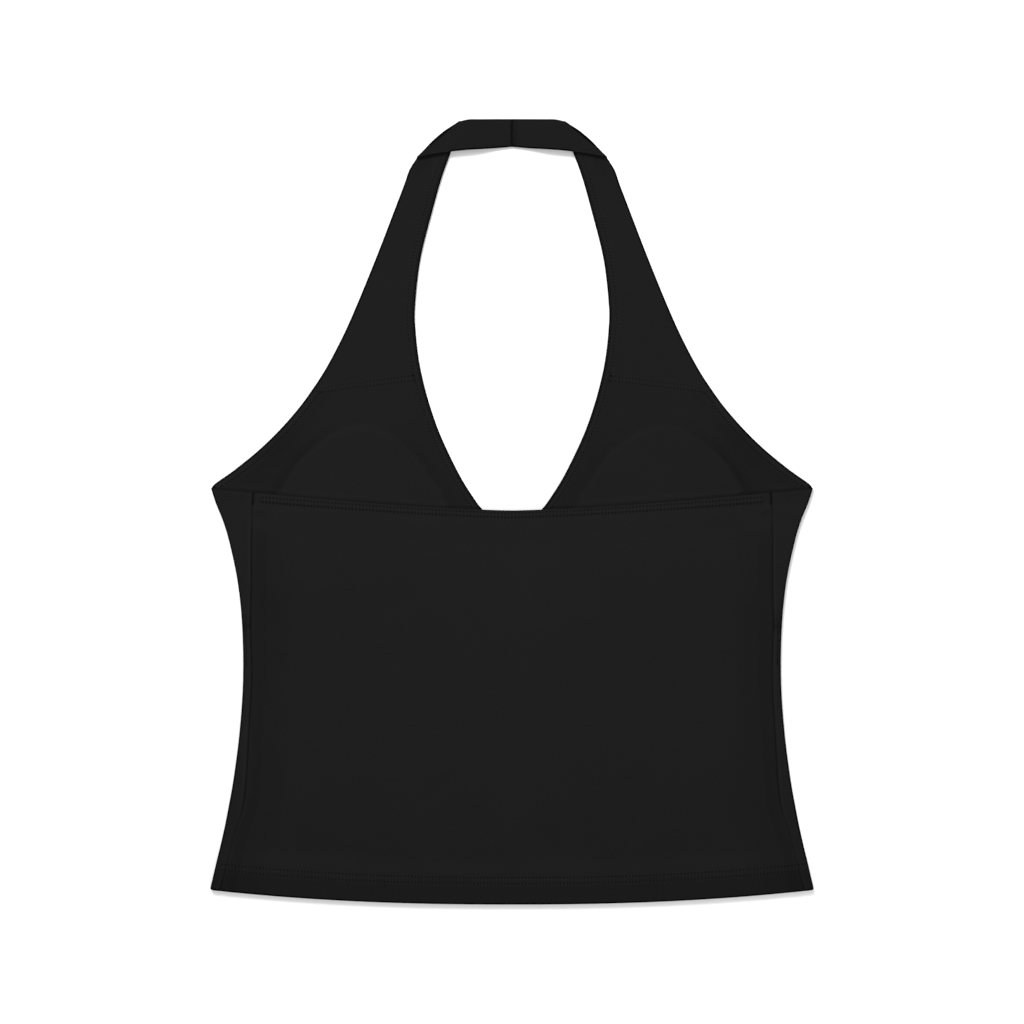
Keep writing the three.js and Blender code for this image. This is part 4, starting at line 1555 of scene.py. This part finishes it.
class HALTER_OT_pads(bpy.types.Operator):
    """Make the two bust pads"""

    bl_idname = "halter.pads"
    bl_label = "Bust pads"

    def execute(self, context):
        sizes, colours = halter_settings(context)
        cover = cloth_material("Pad cover", "pad_foam", colours.pad)
        for sign, side in ((1, "right"), (-1, "left")):
            mesh = make_pad(sign, f"Bust_pad_{side}", sizes.pad_crown / MM, sizes.pad_rim / MM)
            show(mesh, cover, [f"bust_pad_{side}"])
        return {"FINISHED"}


class HALTER_OT_lining(bpy.types.Operator):
    """Make the bust lining and the two strap facings"""

    bl_idname = "halter.lining"
    bl_label = "Lining and facings"

    def execute(self, context):
        _, colours = halter_settings(context)
        jersey = cloth_material("Lining jersey", "lining_jersey", colours.lining)
        lining = show(make_lining(), jersey, ["bust_lining"])
        for sign, side in ((1, "right"), (-1, "left")):
            mesh = make_facing(sign, f"Strap_facing_{side}")
            facing = show(mesh, jersey, [f"strap_facing_{side}"])
        return {"FINISHED"}


class HALTER_OT_back(bpy.types.Operator):
    """Make the back panel, with its turned hem and casing"""

    bl_idname = "halter.back"
    bl_label = "Back panel"

    def execute(self, context):
        _, colours = halter_settings(context)
        shell = cloth_material("Back jersey", "shell_jersey", colours.shell)
        back = show(make_back_panel(), shell, ["back_panel"])
        return {"FINISHED"}


class HALTER_OT_stitching(bpy.types.Operator):
    """Sew the rows of stitches at hem, casing, neck, armholes and lining seams"""

    bl_idname = "halter.stitching"
    bl_label = "Stitching"

    def execute(self, context):
        sizes, colours = halter_settings(context)
        thread = thread_material("Sewing thread", colours.thread)
        for name, sew in STITCHING.items():
            rows = sew(sizes.stitch / MM, sizes.thread / MM)
            show(rows.mesh(name), thread)
        return {"FINISHED"}


CAMERA_LENS = 85
CAMERA_SENSOR = 36
FIELD = 652.9  # width that the camera takes in, at the height of the cloth
CLOTH_LEVEL = 1.5
CAMERA_Y = -0.2
FLOOR_HALF = 6.0  # metres, as are the places and sizes of the lights
WORLD_STRENGTH = 0.62
LIGHTS = {
    "Key": {"at": (-0.55, 1.5, 1.35), "size": 0.9, "power": 47.5},
    "Fill": {"at": (0.9, -1.3, 1.8), "size": 1.4, "power": 18},
}


def area_light(name, at, size, power):
    """A soft round light that faces the origin."""
    lamp = bpy.data.lights.new(name, "AREA")
    lamp.shape, lamp.size, lamp.energy = "DISK", size, power
    lamp.color = (1, 1, 1)
    light = bpy.data.objects.new(name, lamp)
    light.location = at
    light.rotation_euler = (-Vector(at)).to_track_quat("-Z", "Y").to_euler()
    bpy.context.scene.collection.objects.link(light)


def studio_floor(material):
    mesh = bpy.data.meshes.new("Floor")
    corners = [(x * FLOOR_HALF, y * FLOOR_HALF, 0) for x, y in ((-1, -1), (1, -1), (1, 1), (-1, 1))]
    mesh.from_pydata(corners, [], [(0, 1, 2, 3)])
    mesh.materials.append(material)
    floor = bpy.data.objects.new("Floor", mesh)
    bpy.context.scene.collection.objects.link(floor)
    return floor


def camera_above():
    camera = bpy.data.cameras.new("Camera")
    camera.lens, camera.sensor_width = CAMERA_LENS, CAMERA_SENSOR
    camera.clip_start, camera.clip_end = 0.01, 50
    eye = bpy.data.objects.new("Camera", camera)
    distance = FIELD * CAMERA_LENS / CAMERA_SENSOR
    eye.location = (0, CAMERA_Y * MM, (distance + CLOTH_LEVEL) * MM)
    bpy.context.scene.collection.objects.link(eye)
    return eye


class HALTER_OT_stage(bpy.types.Operator):
    """Set the floor, the lights and the camera"""

    bl_idname = "halter.stage"
    bl_label = "Stage"

    def execute(self, context):
        _, colours = halter_settings(context)
        scene = context.scene
        studio_floor(ground_material("Ground", colours.ground))
        scene.world = bpy.data.worlds.new("Studio")
        scene.world.use_nodes = True
        background = scene.world.node_tree.nodes["Background"]
        background.inputs["Color"].default_value = (1, 1, 1, 1)
        background.inputs["Strength"].default_value = WORLD_STRENGTH
        for name, light in LIGHTS.items():
            area_light(name, **light)
        scene.camera = camera_above()
        scene.view_settings.view_transform = "Standard"
        return {"FINISHED"}


class HALTER_PT_panel(bpy.types.Panel):
    """Lists the steps that make the garment"""

    bl_label = "Halter neck top"
    bl_idname = "HALTER_PT_panel"
    bl_space_type = "VIEW_3D"
    bl_region_type = "UI"
    bl_category = "Halter top"

    def draw(self, context):
        layout = self.layout
        for group in halter_settings(context):
            box = layout.box()
            for name in group.bl_rna.properties.keys():
                if name not in ("rna_type", "name"):
                    box.prop(group, name)
        for step in STEPS:
            layout.operator(step.bl_idname)


STEPS = (HALTER_OT_stage, HALTER_OT_front, HALTER_OT_pads, HALTER_OT_lining, HALTER_OT_back,
         HALTER_OT_stitching)
CLASSES = (HalterSizes, HalterColours, *STEPS, HALTER_PT_panel)


def register():
    for each in CLASSES:
        bpy.utils.register_class(each)
    bpy.types.Scene.halter_sizes = bpy.props.PointerProperty(type=HalterSizes)
    bpy.types.Scene.halter_colours = bpy.props.PointerProperty(type=HalterColours)


def unregister():
    del bpy.types.Scene.halter_colours
    del bpy.types.Scene.halter_sizes
    for each in reversed(CLASSES):
        bpy.utils.unregister_class(each)


def main():
    register()
    for step in STEPS:
        group, name = step.bl_idname.split(".")
        getattr(getattr(bpy.ops, group), name)()


if __name__ == "__main__":
    main()
